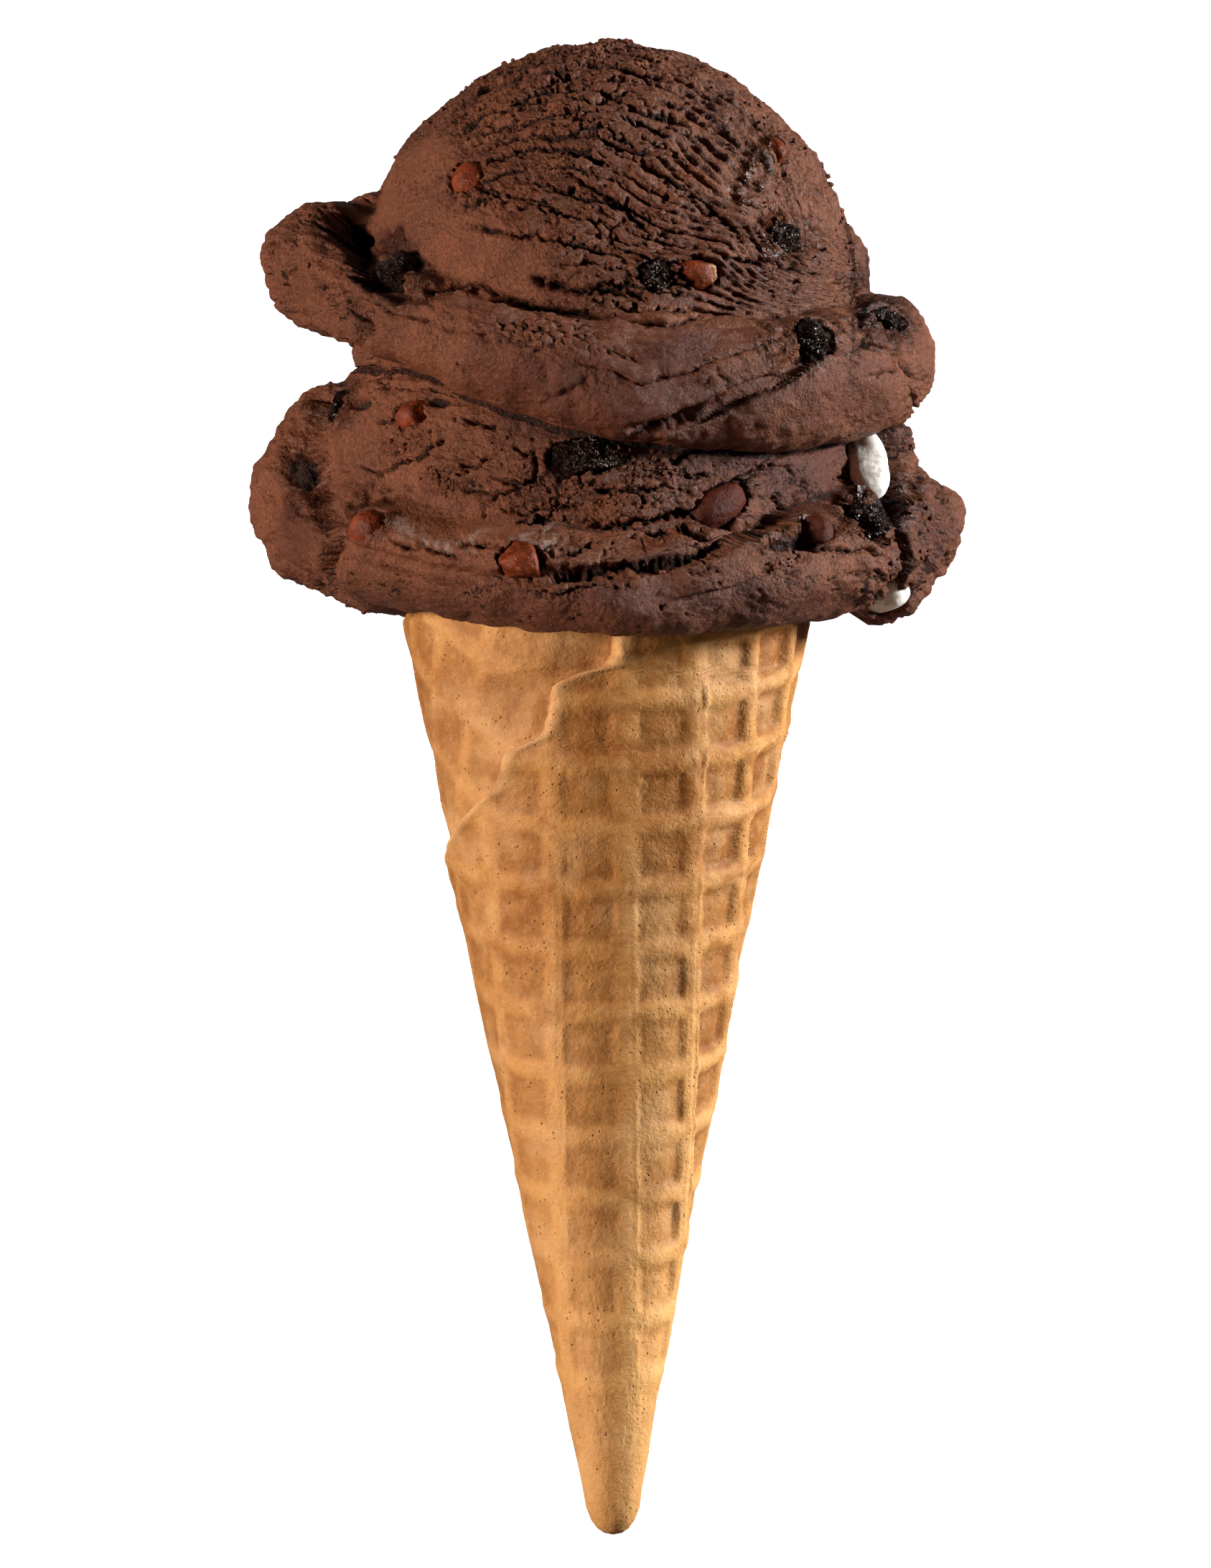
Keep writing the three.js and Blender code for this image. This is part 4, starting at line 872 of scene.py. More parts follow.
def pockets(p, where, noise):
    """The scoop closes round its pieces: a pressed-up lip, and the pocket's bottom under each piece."""
    p = p.copy()
    depth = np.zeros(len(p))
    ragged = noise.layered(p / 1.5 + 71, 3, 0.6)
    for name, scoop, _, size, _, side in PIECES:
        if scoop != where:
            continue
        centre, turn = PIECE_FRAMES[name]
        matrix = np.array(turn.to_matrix())
        half = np.array(size) / 2
        q = (p - np.array(centre)) @ matrix / half
        flat = np.hypot(q[:, 0], q[:, 1]) + 0.2 * ragged
        near = (flat < 2.1) & (np.abs(q[:, 2]) < 3.2)
        mouth = rise(1.0, 0.9, flat)
        bottom = -side * np.sqrt(np.clip(1 - np.clip(flat, 0, 1) ** 2, 0, 1)) * 1.02
        down = np.where(near & (q[:, 2] * side > bottom * side), mouth * (bottom - q[:, 2]), 0)
        lip = (0.45 + 0.3 * ragged) * rise(0.84, 1.02, flat) * rise(2.0, 1.0, flat)
        q[:, 2] += down + np.where(near, side * lip / half[2], 0)
        p[near] = (q[near] * half) @ matrix.T + np.array(centre)
        depth = np.maximum(depth, near * rise(0.95, 0.8, flat))
    return p, depth


def build_mesh(name, points, faces, marks=None):
    """A mesh object from points in millimetres on the cone's axis, with named values on its points."""
    mesh = bpy.data.meshes.new(name)
    metres = (points + np.array([0, 0, AXIS_HEIGHT])) * MM
    mesh.vertices.add(len(metres))
    mesh.vertices.foreach_set("co", metres.astype(np.float32).ravel())
    mesh.loops.add(faces.size)
    mesh.loops.foreach_set("vertex_index", faces.astype(np.int32).ravel())
    mesh.polygons.add(len(faces))
    mesh.polygons.foreach_set("loop_start", np.arange(0, faces.size, faces.shape[1], dtype=np.int32))
    mesh.update(calc_edges=True)
    mesh.validate()
    mesh.shade_smooth()
    for key, values in (marks or {}).items():
        values = np.asarray(values, np.float32)
        kind, field = ("FLOAT", "value") if values.ndim == 1 else ("FLOAT_VECTOR", "vector")
        layer = mesh.attributes.new(key, kind, "POINT")
        layer.data.foreach_set(field, values.ravel())
    thing = bpy.data.objects.new(name, mesh)
    bpy.context.scene.collection.objects.link(thing)
    return thing


SCOOPS = {
    "upper": {"heart": UPPER["heart"], "columns": 350, "relief": upper_relief,
              "spans": [(89, 56, 56), (56, -24, 208), (-24, -80, 16)]},
    "lower": {"heart": LOWER["heart"], "columns": 440, "relief": lower_relief,
              "spans": [(80, 24, 14), (24, -36, 190), (-36, -78, 14)]},
}
SHAPED = {}
SMALLEST_CRUMB = 0.11
CRUMB_RANGE = 0.24


def shape_scoop(where, cares):
    """Points, faces and marks of one scoop, with its relief."""
    plan = SCOOPS[where]
    field, heart = FIELDS[where], np.array(plan["heart"], float)
    ways = star_ways(plan["columns"], plan["spans"])
    faces = star_faces(sum(span[2] for span in plan["spans"]), plan["columns"])
    p = heart + ways * reach_along(field, heart, ways)[:, None]
    seen = rise(-39.5, -34, p[:, 2])
    if where == "upper":
        p = lifted_off(p, lower_field, GAP)
        seen = seen * rise(GAP, 2.2, lower_field(p))
    else:
        seen = seen * rise(-4.5, 1.0, upper_field(p)) * rise(1.0, 4.0, np.hypot(p[:, 0], p[:, 2])
                                                             - cone_radius(np.full(len(p), CONE["rim_y"])))
    normal = slope_of(field, p)
    relief = plan["relief"](p, cares)
    across = relief.flow.across_way(p, normal)
    p = p + (seen * relief.height)[:, None] * normal + (seen * relief.push)[:, None] * 0.8 * across
    p, pocket = pockets(p, where, relief.noise)
    # painted shade round the pieces, where the scoop closes over them
    relief.mark("cavity", pocket)
    p[:, 2] = np.maximum(p[:, 2], -AXIS_HEIGHT)
    if where == "upper":
        p = lifted_off(p, lower_field, GAP)
    marks = {key: seen * value for key, value in relief.marks.items()}
    marks["coarse"] = relief.coarse
    marks["flow"] = relief.flow_place
    return p, faces, marks


# ---------------------------------------------------------------- the cone's sheet

CONE_ANGLE = math.atan(CONE["slope"])


def slant_of(y):
    return (y - CONE["apex_y"]) / math.cos(CONE_ANGLE)


def edge_angle(slant):
    slants, angles = zip(*TORN_EDGE)
    return np.interp(slant, slants, angles)


def rib(value, first, pitch, noise_shift):
    """Distance to the nearest rib of a row of ribs."""
    place = (value + noise_shift - first) / pitch
    return np.abs(place - np.round(place)) * pitch


def waffle_height(u, v, slant, turned, degrees, noise, depth):
    """Height of the pressed pattern over the flat sheet, and how far each point is on a rib or in a cell."""
    q = np.column_stack([u, v, 40 * turned])
    wobble = 0.28 * noise.layered(q / 4.5, 2), 0.28 * noise.layered(q / 4.5 + 40, 2)
    across = rib(u, WAFFLE["rib_u"], WAFFLE["pitch_u"], wobble[0])
    along = rib(v, WAFFLE["rib_v"], WAFFLE["pitch_v"], wobble[1])
    cell = rise(0.75, 2.15, across) * rise(0.7, 2.0, along)
    strength = 0.4 + 0.85 * bump_at(degrees - 60, 26) + 0.45 * rise(95, 150, np.abs(degrees))
    patchy = 0.7 + 0.4 * rise(70, 125, slant) + 0.5 * noise.smooth(q / 10)
    strength = strength * rise(24, 40, slant) * patchy
    faint = rise(0.80, 0.97, turned)
    strength = strength * (1 - 0.5 * faint)
    pillow = 0.3 * rise(2.4, 4.2, across) * rise(2.0, 3.7, along)
    crest = 0.16 * (bump_at(across, 0.45) + bump_at(along, 0.4)) * (1 - cell)
    # a thin burr stands along the right side of each rib
    place = (u + 0.5 * wobble[0] - WAFFLE["rib_u"]) / WAFFLE["pitch_u"]
    beside = (place - np.round(place)) * WAFFLE["pitch_u"] - 1.1 - 0.5 * rise(95, 125, slant)
    plain = 0.25 + 0.75 * rise(12, 34, degrees) + 0.5 * rise(120, 160, np.abs(degrees))
    line = bump_at(beside, 0.26) * plain * rise(45, 62, slant) * rise(-0.4, 0.3, noise.smooth(q / 7) + 0.2)
    height = strength * (depth * (pillow - cell) + crest) + 0.34 * line
    border = cell * (1 - rise(2.2, 3.4, across) * rise(2.0, 3.2, along))
    # where the burr and the rib crests are lightened as a painted highlight
    bright = np.maximum(line, 0.35 * (bump_at(across, 0.5) + bump_at(along, 0.45)) * (1 - cell))
    shown = (0.35 + 0.65 * strength) * (0.45 + 0.55 * rise(35, 75, slant))
    return height, cell * shown, border * shown, bright


def ring(angle, radius, y, noise, uneven=0.0, waves=6):
    """Points round the cone's axis at one height."""
    level = np.full(len(angle), float(y))
    place = np.column_stack([waves * np.sin(angle), waves * np.cos(angle), level])
    radius = radius + uneven * noise.smooth(place)
    return np.column_stack([cone_axis_x(y) + radius * np.sin(angle), level, radius * np.cos(angle)])


def shape_cone(cares):
    """Points, faces and marks of the rolled sheet with its rim, hollow and tip."""
    noise = Noise(31)
    rim, foot = slant_of(CONE["rim_y"]), WAFFLE["foot_slant"]
    slants = np.linspace(rim, foot, 236)
    lip = np.array([0, 0.12, 0.28, 0.5, 0.8, 1.15]) / 170
    turned = np.concatenate([lip, np.linspace(1.5 / 170, 0.9985, 366)])
    slant, turn = (part.ravel() for part in np.meshgrid(slants, turned, indexing="ij"))
    ragged = 0.5 * noise.layered(np.column_stack([slant / 2.2, slant * 0, slant * 0]), 3)
    edge_mm = turn * 2 * math.pi * slant * math.sin(CONE_ANGLE)
    angle = np.radians(edge_angle(slant) + 360 * turn)
    angle += ragged * np.exp(-edge_mm / 2.0) / (slant * math.sin(CONE_ANGLE))
    flat_angle = angle * math.sin(CONE_ANGLE)
    u, v = slant * np.sin(flat_angle), slant * np.cos(flat_angle)
    degrees = (np.degrees(angle) + 180) % 360 - 180
    depth = WAFFLE["depth"] * cares.waffle
    height, cell, border, bright = waffle_height(u, v, slant, turn, degrees, noise, depth)
    near_edge = np.exp(-edge_mm / 0.9)
    uneven = 1 + 0.6 * noise.smooth(np.column_stack([slant / 3.5, turn * 0, turn * 0 + 5]))
    height = height * (1 - near_edge) + 0.3 * uneven * np.exp(-((edge_mm - 1.4 * uneven) / 1.15) ** 2)
    rounded = 0.75 - np.sqrt(np.clip(0.75 ** 2 - np.clip(0.75 - edge_mm, 0, 0.75) ** 2, 0, None))
    q = np.column_stack([u, v, 40 * turn])
    height += 0.07 * noise.layered(q / 3.0, 3) + 0.035 * noise.layered(q / 0.9 + 9, 2)
    y = CONE["apex_y"] + slant * math.cos(CONE_ANGLE)
    thick = CONE["thin_sheet"] + (CONE["sheet"] - CONE["thin_sheet"]) * np.clip((slant - 92) / 22, 0, 1)
    lift = thick * np.clip((slant - 14) / 20, 0, 1) * (0.5 - turn)
    radius = cone_radius(y) + lift + height - rounded * np.minimum(thick, 1)
    radius -= 0.8 * rise(rim - 1.2, rim + 0.1, slant)
    radius -= 1.0 * rise(0.925, 0.985, turn) * rise(121, 129, slant)
    rows, columns = len(slants), len(turned)
    grid = np.column_stack([cone_axis_x(y) + radius * np.sin(angle), y, radius * np.cos(angle)])
    grid = grid.reshape(rows, columns, 3)
    # three columns of points close the step under the free edge
    start, end = grid[:, -1:], grid[:, :1]
    share = np.array([0.25, 0.5, 0.75])[None, :, None]
    wall = start + (end - start) * share
    outward = unit(np.column_stack([np.sin(angle.reshape(rows, columns)[:, 0]), np.zeros(rows),
                                    np.cos(angle.reshape(rows, columns)[:, 0])]))
    tangent = np.cross(outward, (0, 1, 0))
    wall = wall + 0.22 * np.sin(np.pi * share) * tangent[:, None, :]
    grid = np.concatenate([grid, wall], axis=1)
    # darker blotches towards the tip; painted shadow on the inner sheet under the free edge near the rim;
    # painted shade down the cone's left side
    baked = np.maximum(rise(-84, -94, y) * rise(-0.3, 0.4, noise.layered(q / 4, 2)),
                       rise(0.9, 0.99, turn) * rise(116, 130, slant))
    baked = np.maximum(baked, 0.75 * rise(-30, -84, degrees) * rise(-130, -110, degrees))
    marks = {"cell": cell, "border": border, "bright": bright, "baked": baked,
             "inner": rise(0.72, 0.98, turn) * rise(85, 105, slant),
             "lip": rise(3.4 * uneven, 1.0 * uneven, edge_mm) * rise(80, 100, slant)}
    marks = {key: np.concatenate([value.reshape(rows, columns), np.zeros((rows, 3))], axis=1)
             for key, value in marks.items()}
    marks["inner"][:, -3:] = 1.0
    around_points = grid.shape[1]
    ring_angle = np.arctan2(grid[0, :, 0] - cone_axis_x(CONE["rim_y"]), grid[0, :, 2])
    rim_y = CONE["rim_y"]
    inner = [ring(ring_angle, cone_radius(rim_y) - 1.9, rim_y + 0.25, noise, 0.1),
             ring(ring_angle, cone_radius(rim_y) - 2.7, rim_y - 0.2, noise, 0.1),
             ring(ring_angle, cone_radius(rim_y) - CONE["wall"], rim_y - 1.2, noise)]
    for level in (10.0, -20.0, -50.0, CONE["floor_y"]):
        inner.append(ring(ring_angle, cone_radius(level) - CONE["wall"], level, noise))
    foot_y = CONE["apex_y"] + foot * math.cos(CONE_ANGLE)
    tip_angle = np.arctan2(grid[-1, :, 0] - cone_axis_x(foot_y), grid[-1, :, 2])
    tip_rings = []
    for share in (0.12, 0.3, 0.5, 0.7, 0.84, 0.93, 0.98):
        level = foot_y + (CONE["tip_y"] - foot_y) * share
        tip_rings.append(ring(tip_angle, cone_radius(level), level, noise, 0.12, 2))
    rings = np.concatenate([np.array(inner[::-1]), grid, np.array(tip_rings)])
    points = np.vstack([[(cone_axis_x(CONE["floor_y"]), CONE["floor_y"], 0)], rings.reshape(-1, 3),
                        [(cone_axis_x(CONE["tip_y"]), CONE["tip_y"], 0)]])
    faces = star_faces(len(rings), around_points)
    before, after = np.zeros((len(inner), around_points)), np.zeros((len(tip_rings), around_points))
    full = {}
    for key, value in marks.items():
        full[key] = np.concatenate([[0], before.ravel(), value.ravel(), after.ravel(), [0]])
    return points, faces, full


# ---------------------------------------------------------------- pieces in the scoops

def ball(subdivisions):
    made = bmesh.new()
    bmesh.ops.create_icosphere(made, subdivisions=subdivisions, radius=1)
    points = unit(np.array([vertex.co for vertex in made.verts]))
    faces = np.array([[vertex.index for vertex in face.verts] for face in made.faces])
    made.free()
    return points, faces


def shape_piece(name, size, seed):
    """Points of a nut, a fudge lump or a marshmallow about its own centre, with its marks."""
    way, faces = ball(5)
    x, y, z = way.T
    letters = sum(ord(letter) for letter in name)
    kind = name.split("_")[0]
    angular = 0.16 if kind == "fudge" else 0.07
    lump = np.sin(3 * x + letters) * np.sin(3.4 * y + 2 * letters) * np.cos(2.6 * z)
    noise = Noise(seed)
    half = np.array(size) / 2
    p = way * half * (1 + angular * lump)[:, None]
    broken = np.zeros(len(p))
    if kind == "fudge":
        grains = noise.layered(p / 1.9 + 3, 3, 0.6)
        relief = 0.3 * grains + 0.16 * np.abs(noise.layered(p / 0.7, 2))
        chopped = 1 + 0.24 * noise.layered(way * 1.3 + 11, 2)
    elif kind == "nut":
        wrinkle = np.abs(noise.layered(p / np.array([3.2, 1.4, 1.6]), 2))
        broken = rise(0.42, 0.5, x + 0.14 * noise.layered(p / 1.2, 2)) * (name in BROKEN_NUTS)
        relief = 0.1 - 0.16 * wrinkle + broken * (0.3 * noise.layered(p / 0.8, 2) - 0.25)
        cuts = unit(np.random.default_rng(seed).normal(size=(6, 3)) * (1, 1, 0.6))
        chopped = np.ones(len(p))
        if name not in WHOLE_NUTS:
            for index, cut in enumerate(cuts):
                chopped = smooth_min(chopped, (0.66 + 0.05 * index) / np.maximum(way @ cut, 0.05), 0.18)
            chopped = chopped * 1.08
    else:
        relief = 0.12 * noise.layered(p / 2.6, 2) + 0.03 * noise.layered(p / 0.6, 2)
        chopped = 1 / np.maximum((np.abs(way) ** 2.8).sum(1) ** (1 / 2.8), 0.5)
    p = p * chopped[:, None] + way * relief[:, None]
    glazed = np.full(len(p), float(name in GLAZED_AND_SHADED_NUTS))
    return p, faces, {"broken": broken, "glazed": glazed, "cavity": rise(0.0, -0.35, relief)}


# ---------------------------------------------------------------- materials

class Paint:
    """A material's node tree, built one node a call."""

    def __init__(self, name):
        self.material = bpy.data.materials.new(name)
        self.material.use_nodes = True
        self.tree = self.material.node_tree
        self.shader = self.tree.nodes["Principled BSDF"]
        self.place = self.add("ShaderNodeTexCoord").outputs["Object"]

    def add(self, kind, settings=None, **inputs):
        """A node with its settings; i0, i1 and so on are inputs by number, and the others go by name."""
        node = self.tree.nodes.new(kind)
        for key, value in (settings or {}).items():
            setattr(node, key, value)
        for key, value in inputs.items():
            numbered = key[0] == "i" and key[1:].isdigit()
            self.feed(node, int(key[1:]) if numbered else key.replace("_", " "), value)
        return node

    def feed(self, node, key, value):
        socket = node.inputs[key]
        if isinstance(value, bpy.types.NodeSocket):
            self.tree.links.new(value, socket)
        else:
            socket.default_value = value

    def set(self, **inputs):
        for key, value in inputs.items():
            self.feed(self.shader, key.replace("_", " "), value)

    def noise(self, size_mm, detail=3.0, rough=0.55):
        node = self.add("ShaderNodeTexNoise", Vector=self.place, Scale=1 / (size_mm * MM), Detail=detail,
                        Roughness=rough)
        return node.outputs["Fac"]

    def stretched_noise(self, place, sizes_mm, detail, rough, distortion):
        """Noise in given coordinates in millimetres, with a size for each of them."""
        shares = tuple(1 / size for size in sizes_mm)
        spread = self.add("ShaderNodeVectorMath", {"operation": "MULTIPLY"}, i0=place, i1=shares).outputs[0]
        node = self.add("ShaderNodeTexNoise", Vector=spread, Scale=1.0, Detail=detail, Roughness=rough,
                        Distortion=distortion)
        return node.outputs["Fac"]

    def cells(self, size_mm):
        node = self.add("ShaderNodeTexVoronoi", Vector=self.place, Scale=1 / (size_mm * MM))
        return node.outputs["Distance"]

    def mark(self, name):
        return self.add("ShaderNodeAttribute", {"attribute_name": name}).outputs["Fac"]

    def math(self, operation, a, b=0.0, c=0.0):
        return self.add("ShaderNodeMath", {"operation": operation}, i0=a, i1=b, i2=c).outputs[0]

    def scale(self, value, low, high, to_low=0.0, to_high=1.0):
        node = self.add("ShaderNodeMapRange", Value=value, From_Min=low, From_Max=high, To_Min=to_low,
                        To_Max=to_high)
        return node.outputs["Result"]

    def ramp(self, value, *stops):
        node = self.add("ShaderNodeValToRGB", Fac=value)
        band = node.color_ramp.elements
        band[0].position, band[0].color = stops[0][0], (*stops[0][1], 1)
        band[1].position, band[1].color = stops[-1][0], (*stops[-1][1], 1)
        for position, colour in stops[1:-1]:
            band.new(position).color = (*colour, 1)
        return node.outputs["Color"]

    def mix(self, share, a, b):
        node = self.add("ShaderNodeMix", {"data_type": "RGBA"}, i0=share)
        for index, value in ((6, a), (7, b)):
            self.feed(node, index, value if isinstance(value, bpy.types.NodeSocket) else (*value, 1))
        return node.outputs[2]

    def over(self, colour, top, mark, amount):
        """The colour with another laid over it where the mark is, by an amount."""
        return self.mix(self.math("MULTIPLY", mark, amount), colour, top)

    def bump(self, height, distance_mm, before=None, strength=1.0):
        node = self.add("ShaderNodeBump", Height=height, Distance=distance_mm * MM, Strength=strength)
        if before is not None:
            self.feed(node, "Normal", before)
        return node.outputs["Normal"]


def chocolate_paint(cares):
    paint = Paint("chocolate_ice_cream")
    pale, dark = tuple(cares.chocolate_pale), tuple(cares.chocolate_dark)
    cavity, crest, wet, amber, frost, coarse = (
        paint.mark(key) for key in ("cavity", "crest", "wet", "amber", "frost", "coarse"))
    flow = paint.add("ShaderNodeAttribute", {"attribute_name": "flow"}).outputs["Vector"]
    broad = paint.noise(9, 2)
    middle = paint.noise(1.6, 4, 0.6)
    sandy = paint.noise(0.42, 4, 0.75)
    ragged = paint.math("SUBTRACT", paint.noise(0.5, 4, 0.65), 0.5)
    # deep gaps get crumbly edges and are painted dark as shade, and thin ragged cracks follow the marks of
    # the scoop, with a painted shadow under each plate's lip
    gap = paint.scale(paint.math("MULTIPLY_ADD", ragged, 1.2, cavity), 0.62, 0.85)
    level = paint.add("ShaderNodeSeparateXYZ", i0=flow).outputs["Z"]
    sway = paint.math("SUBTRACT", paint.stretched_noise(flow, (3.6, 3.6, 1.6), 4, 0.6, 0.3), 0.5)
    place = paint.math("MULTIPLY_ADD", sway, 2.8, paint.math("MULTIPLY", level, 0.8))
    place = paint.math("MULTIPLY_ADD", ragged, 1.1, place)
    plate = paint.math("FRACT", place)
    patches = paint.scale(paint.stretched_noise(flow, (4.5, 4.5, 2.2), 3, 0.6, 0.0), 0.38, 0.52)
    patches = paint.math("MULTIPLY", patches, coarse)
    plate = paint.math("MULTIPLY", plate, patches)
    tear = paint.math("MULTIPLY", paint.scale(plate, 0.78, 0.9), paint.scale(patches, 0.3, 0.7))
    pocks = paint.math("MULTIPLY", paint.scale(paint.cells(0.8), 0.2, 0.08), paint.scale(middle, 0.58, 0.66))
    gaps = paint.math("MAXIMUM", gap, paint.math("MULTIPLY", pocks, coarse))
    tone = paint.math("ADD", paint.math("MULTIPLY", broad, 0.65), paint.math("MULTIPLY", middle, 0.35))
    colour = paint.ramp(tone, (0.36, dark), (0.64, pale))
    grains = paint.math("MULTIPLY", paint.scale(sandy, 0.5, 0.68), 0.6)
    # dry grains, and the torn lips' edges lightened as a painted highlight
    colour = paint.mix(paint.math("MAXIMUM", grains, paint.math("MULTIPLY", crest, 0.35)), colour,
                       tuple(cares.chocolate_dust_and_highlight))
    colour = paint.over(colour, (0.035, 0.009, 0.004), paint.scale(sandy, 0.48, 0.32), 0.6)
    # syrup colour, also laid as painted shade under and beside the rolls
    colour = paint.over(colour, tuple(cares.syrup_and_shade_colour), amber, 0.75)
    colour = paint.over(colour, (0.030, 0.009, 0.005), wet, 0.5)
    # painted shadow under the plates' lips, then painted shade in the cracks, gaps and pits
    colour = paint.over(colour, (0.014, 0.004, 0.002), tear, 0.8)
    colour = paint.over(colour, (0.010, 0.003, 0.0015), gaps, 0.85)
    # pale ice crystals, lightened as a painted sparkle
    specks = paint.scale(paint.cells(0.5), 0.16, 0.09)
    sparse = paint.scale(paint.noise(1.3, 1), 0.54, 0.64)
    crystal_sparkle = paint.math("MULTIPLY", paint.math("MULTIPLY", specks, sparse), 0.75)
    colour = paint.mix(crystal_sparkle, colour, (0.42, 0.25, 0.17))
    colour = paint.over(colour, (0.36, 0.26, 0.2), frost, 0.5)
    rough = paint.scale(middle, 0.35, 0.7, 0.46, 0.6)
    rough = paint.math("MULTIPLY_ADD", wet, -0.36, rough)
    rough = paint.math("MULTIPLY_ADD", amber, -0.04, rough)
    rough = paint.math("MULTIPLY_ADD", gaps, 0.25, rough)
    grain = paint.bump(sandy, 0.3)
    grain = paint.bump(paint.noise(0.9, 3, 0.6), 0.36, grain)
    grain = paint.bump(paint.noise(2.2, 3, 0.6), 0.5, grain, 0.7)
    grain = paint.bump(plate, -0.55, grain)
    grain = paint.bump(gaps, -0.35, grain)
    grain = paint.bump(paint.math("MULTIPLY", paint.noise(1.0, 3, 0.6), wet), 1.6, grain)
    paint.set(Base_Color=colour, Roughness=rough, Normal=grain, IOR=1.36, Specular_IOR_Level=0.42)
    return paint.material


def waffle_paint(cares):
    paint = Paint("waffle")
    cell, border, inner, lip, bright, baked = (
        paint.mark(key) for key in ("cell", "border", "inner", "lip", "bright", "baked"))
    broad = paint.noise(13, 3, 0.55)
    middle = paint.noise(3.2, 4, 0.6)
    fine = paint.noise(0.45, 3, 0.6)
    sandy = paint.noise(0.2, 2)
    tone = paint.math("ADD", paint.math("MULTIPLY", broad, 0.6), paint.math("MULTIPLY", middle, 0.4))
    colour = paint.ramp(tone, (0.38, tuple(cares.waffle_brown)), (0.58, tuple(cares.waffle_gold)))
    height = paint.add("ShaderNodeSeparateXYZ", i0=paint.place).outputs["Y"]
    # lighter and oranger lower on the cone, as painted light
    colour = paint.mix(paint.scale(height, -0.01, -0.07, 0.0, 0.6), colour, (0.78, 0.38, 0.125))
    toast_and_shade = tuple(cares.waffle_toast_and_shade)
    pale = tuple(cares.waffle_pale_and_highlight)
    colour = paint.over(colour, toast_and_shade, cell, 0.62)
    colour = paint.over(colour, toast_and_shade, border, 0.3)
    # the tip's darker blotches, with painted shade under the free edge and down the left side
    colour = paint.over(colour, toast_and_shade, baked, 0.5)
    colour = paint.mix(paint.scale(height, -0.080, -0.094, 0.0, 0.3), colour, toast_and_shade)
    colour = paint.over(colour, pale, inner, 0.15)
    colour = paint.over(colour, pale, lip, 0.5)
    # the rib crests and the burr lightened as a painted highlight
    crest_highlight = paint.math("MULTIPLY", bright, paint.scale(middle, 0.4, 0.6))
    colour = paint.over(colour, pale, crest_highlight, 0.6)
    patchy = paint.scale(paint.noise(0.9, 4, 0.7), 0.5, 0.66)
    colour = paint.over(colour, pale, patchy, 0.25)
    blotches = paint.scale(paint.noise(9, 3, 0.5), 0.5, 0.66)
    colour = paint.over(colour, pale, blotches, 0.35)
    scorched = paint.scale(paint.noise(6, 3, 0.55), 0.54, 0.7)
    colour = paint.over(colour, toast_and_shade, scorched, 0.4)
    colour = paint.over(colour, toast_and_shade, paint.scale(sandy, 0.5, 0.25), 0.4)
    pores = paint.math("MULTIPLY", paint.scale(paint.cells(0.9), 0.2, 0.08), paint.scale(middle, 0.5, 0.6))
    colour = paint.over(colour, (0.12, 0.05, 0.018), pores, 0.6)
    rough = paint.scale(middle, 0.3, 0.7, 0.5, 0.68)
    surface = paint.bump(fine, 0.14, strength=0.8)
    surface = paint.bump(paint.noise(1.2, 4, 0.6), 0.34, surface, 0.6)
    surface = paint.bump(pores, -0.3, surface, 0.8)
    paint.set(Base_Color=colour, Roughness=rough, Normal=surface, IOR=1.35, Specular_IOR_Level=0.22,
              Subsurface_Weight=0.08, Subsurface_Radius=(1.0, 0.5, 0.25), Subsurface_Scale=0.001)
    return paint.material


def nut_paint(cares):
    paint = Paint("nut")
    broken, cavity = paint.mark("broken"), paint.mark("cavity")
    tone = paint.noise(1.8, 4, 0.6)
    skin = tuple(cares.nut_skin)
    colour = paint.ramp(tone, (0.34, tuple(0.35 * part for part in skin)), (0.62, skin))
    # painted shade in the wrinkles
    colour = paint.over(colour, (0.03, 0.008, 0.005), cavity, 0.5)
    crumbs = paint.scale(paint.cells(0.5), 0.22, 0.12)
    crumbs = paint.math("MULTIPLY", crumbs, paint.scale(paint.noise(1.5, 1), 0.52, 0.6))
    colour = paint.over(colour, (0.5, 0.26, 0.15), crumbs, 0.8)
    meat = paint.ramp(paint.noise(0.8, 3), (0.35, (0.16, 0.05, 0.02)), (0.6, (0.38, 0.18, 0.09)))
    colour = paint.mix(broken, colour, meat)
    # darker skin on the lower right nuts: a dark glaze and painted shade
    glazed = paint.mark("glazed")
    colour = paint.over(colour, (0.032, 0.005, 0.002), glazed, 0.72)
    rough = paint.math("ADD", paint.scale(tone, 0.3, 0.7, 0.34, 0.46),
                       paint.math("MULTIPLY", paint.math("ADD", broken, glazed), 0.22))
    surface = paint.bump(paint.noise(0.7, 4, 0.6), 0.4, strength=0.8)
    paint.set(Base_Color=colour, Roughness=rough, Normal=surface, IOR=1.24, Subsurface_Weight=0.1,
              Subsurface_Radius=(1.0, 0.3, 0.12), Subsurface_Scale=0.001)
    return paint.material


def fudge_paint(cares):
    paint = Paint("fudge")
    tone = paint.noise(0.9, 4, 0.6)
    shade = tuple(cares.fudge)
    colour = paint.ramp(tone, (0.4, tuple(0.4 * part for part in shade)), (0.7, shade))
    grains = paint.math("MULTIPLY", paint.scale(paint.cells(0.45), 0.2, 0.1), paint.scale(tone, 0.5, 0.6))
    colour = paint.over(colour, (0.05, 0.02, 0.012), grains, 0.5)
    surface = paint.bump(paint.noise(1.3, 3, 0.6), 2.6)
    paint.set(Base_Color=colour, Roughness=paint.scale(tone, 0.35, 0.7, 0.06, 0.12), Normal=surface,
              IOR=1.38, Specular_Tint=(1.0, 0.78, 0.64, 1.0))
    return paint.material


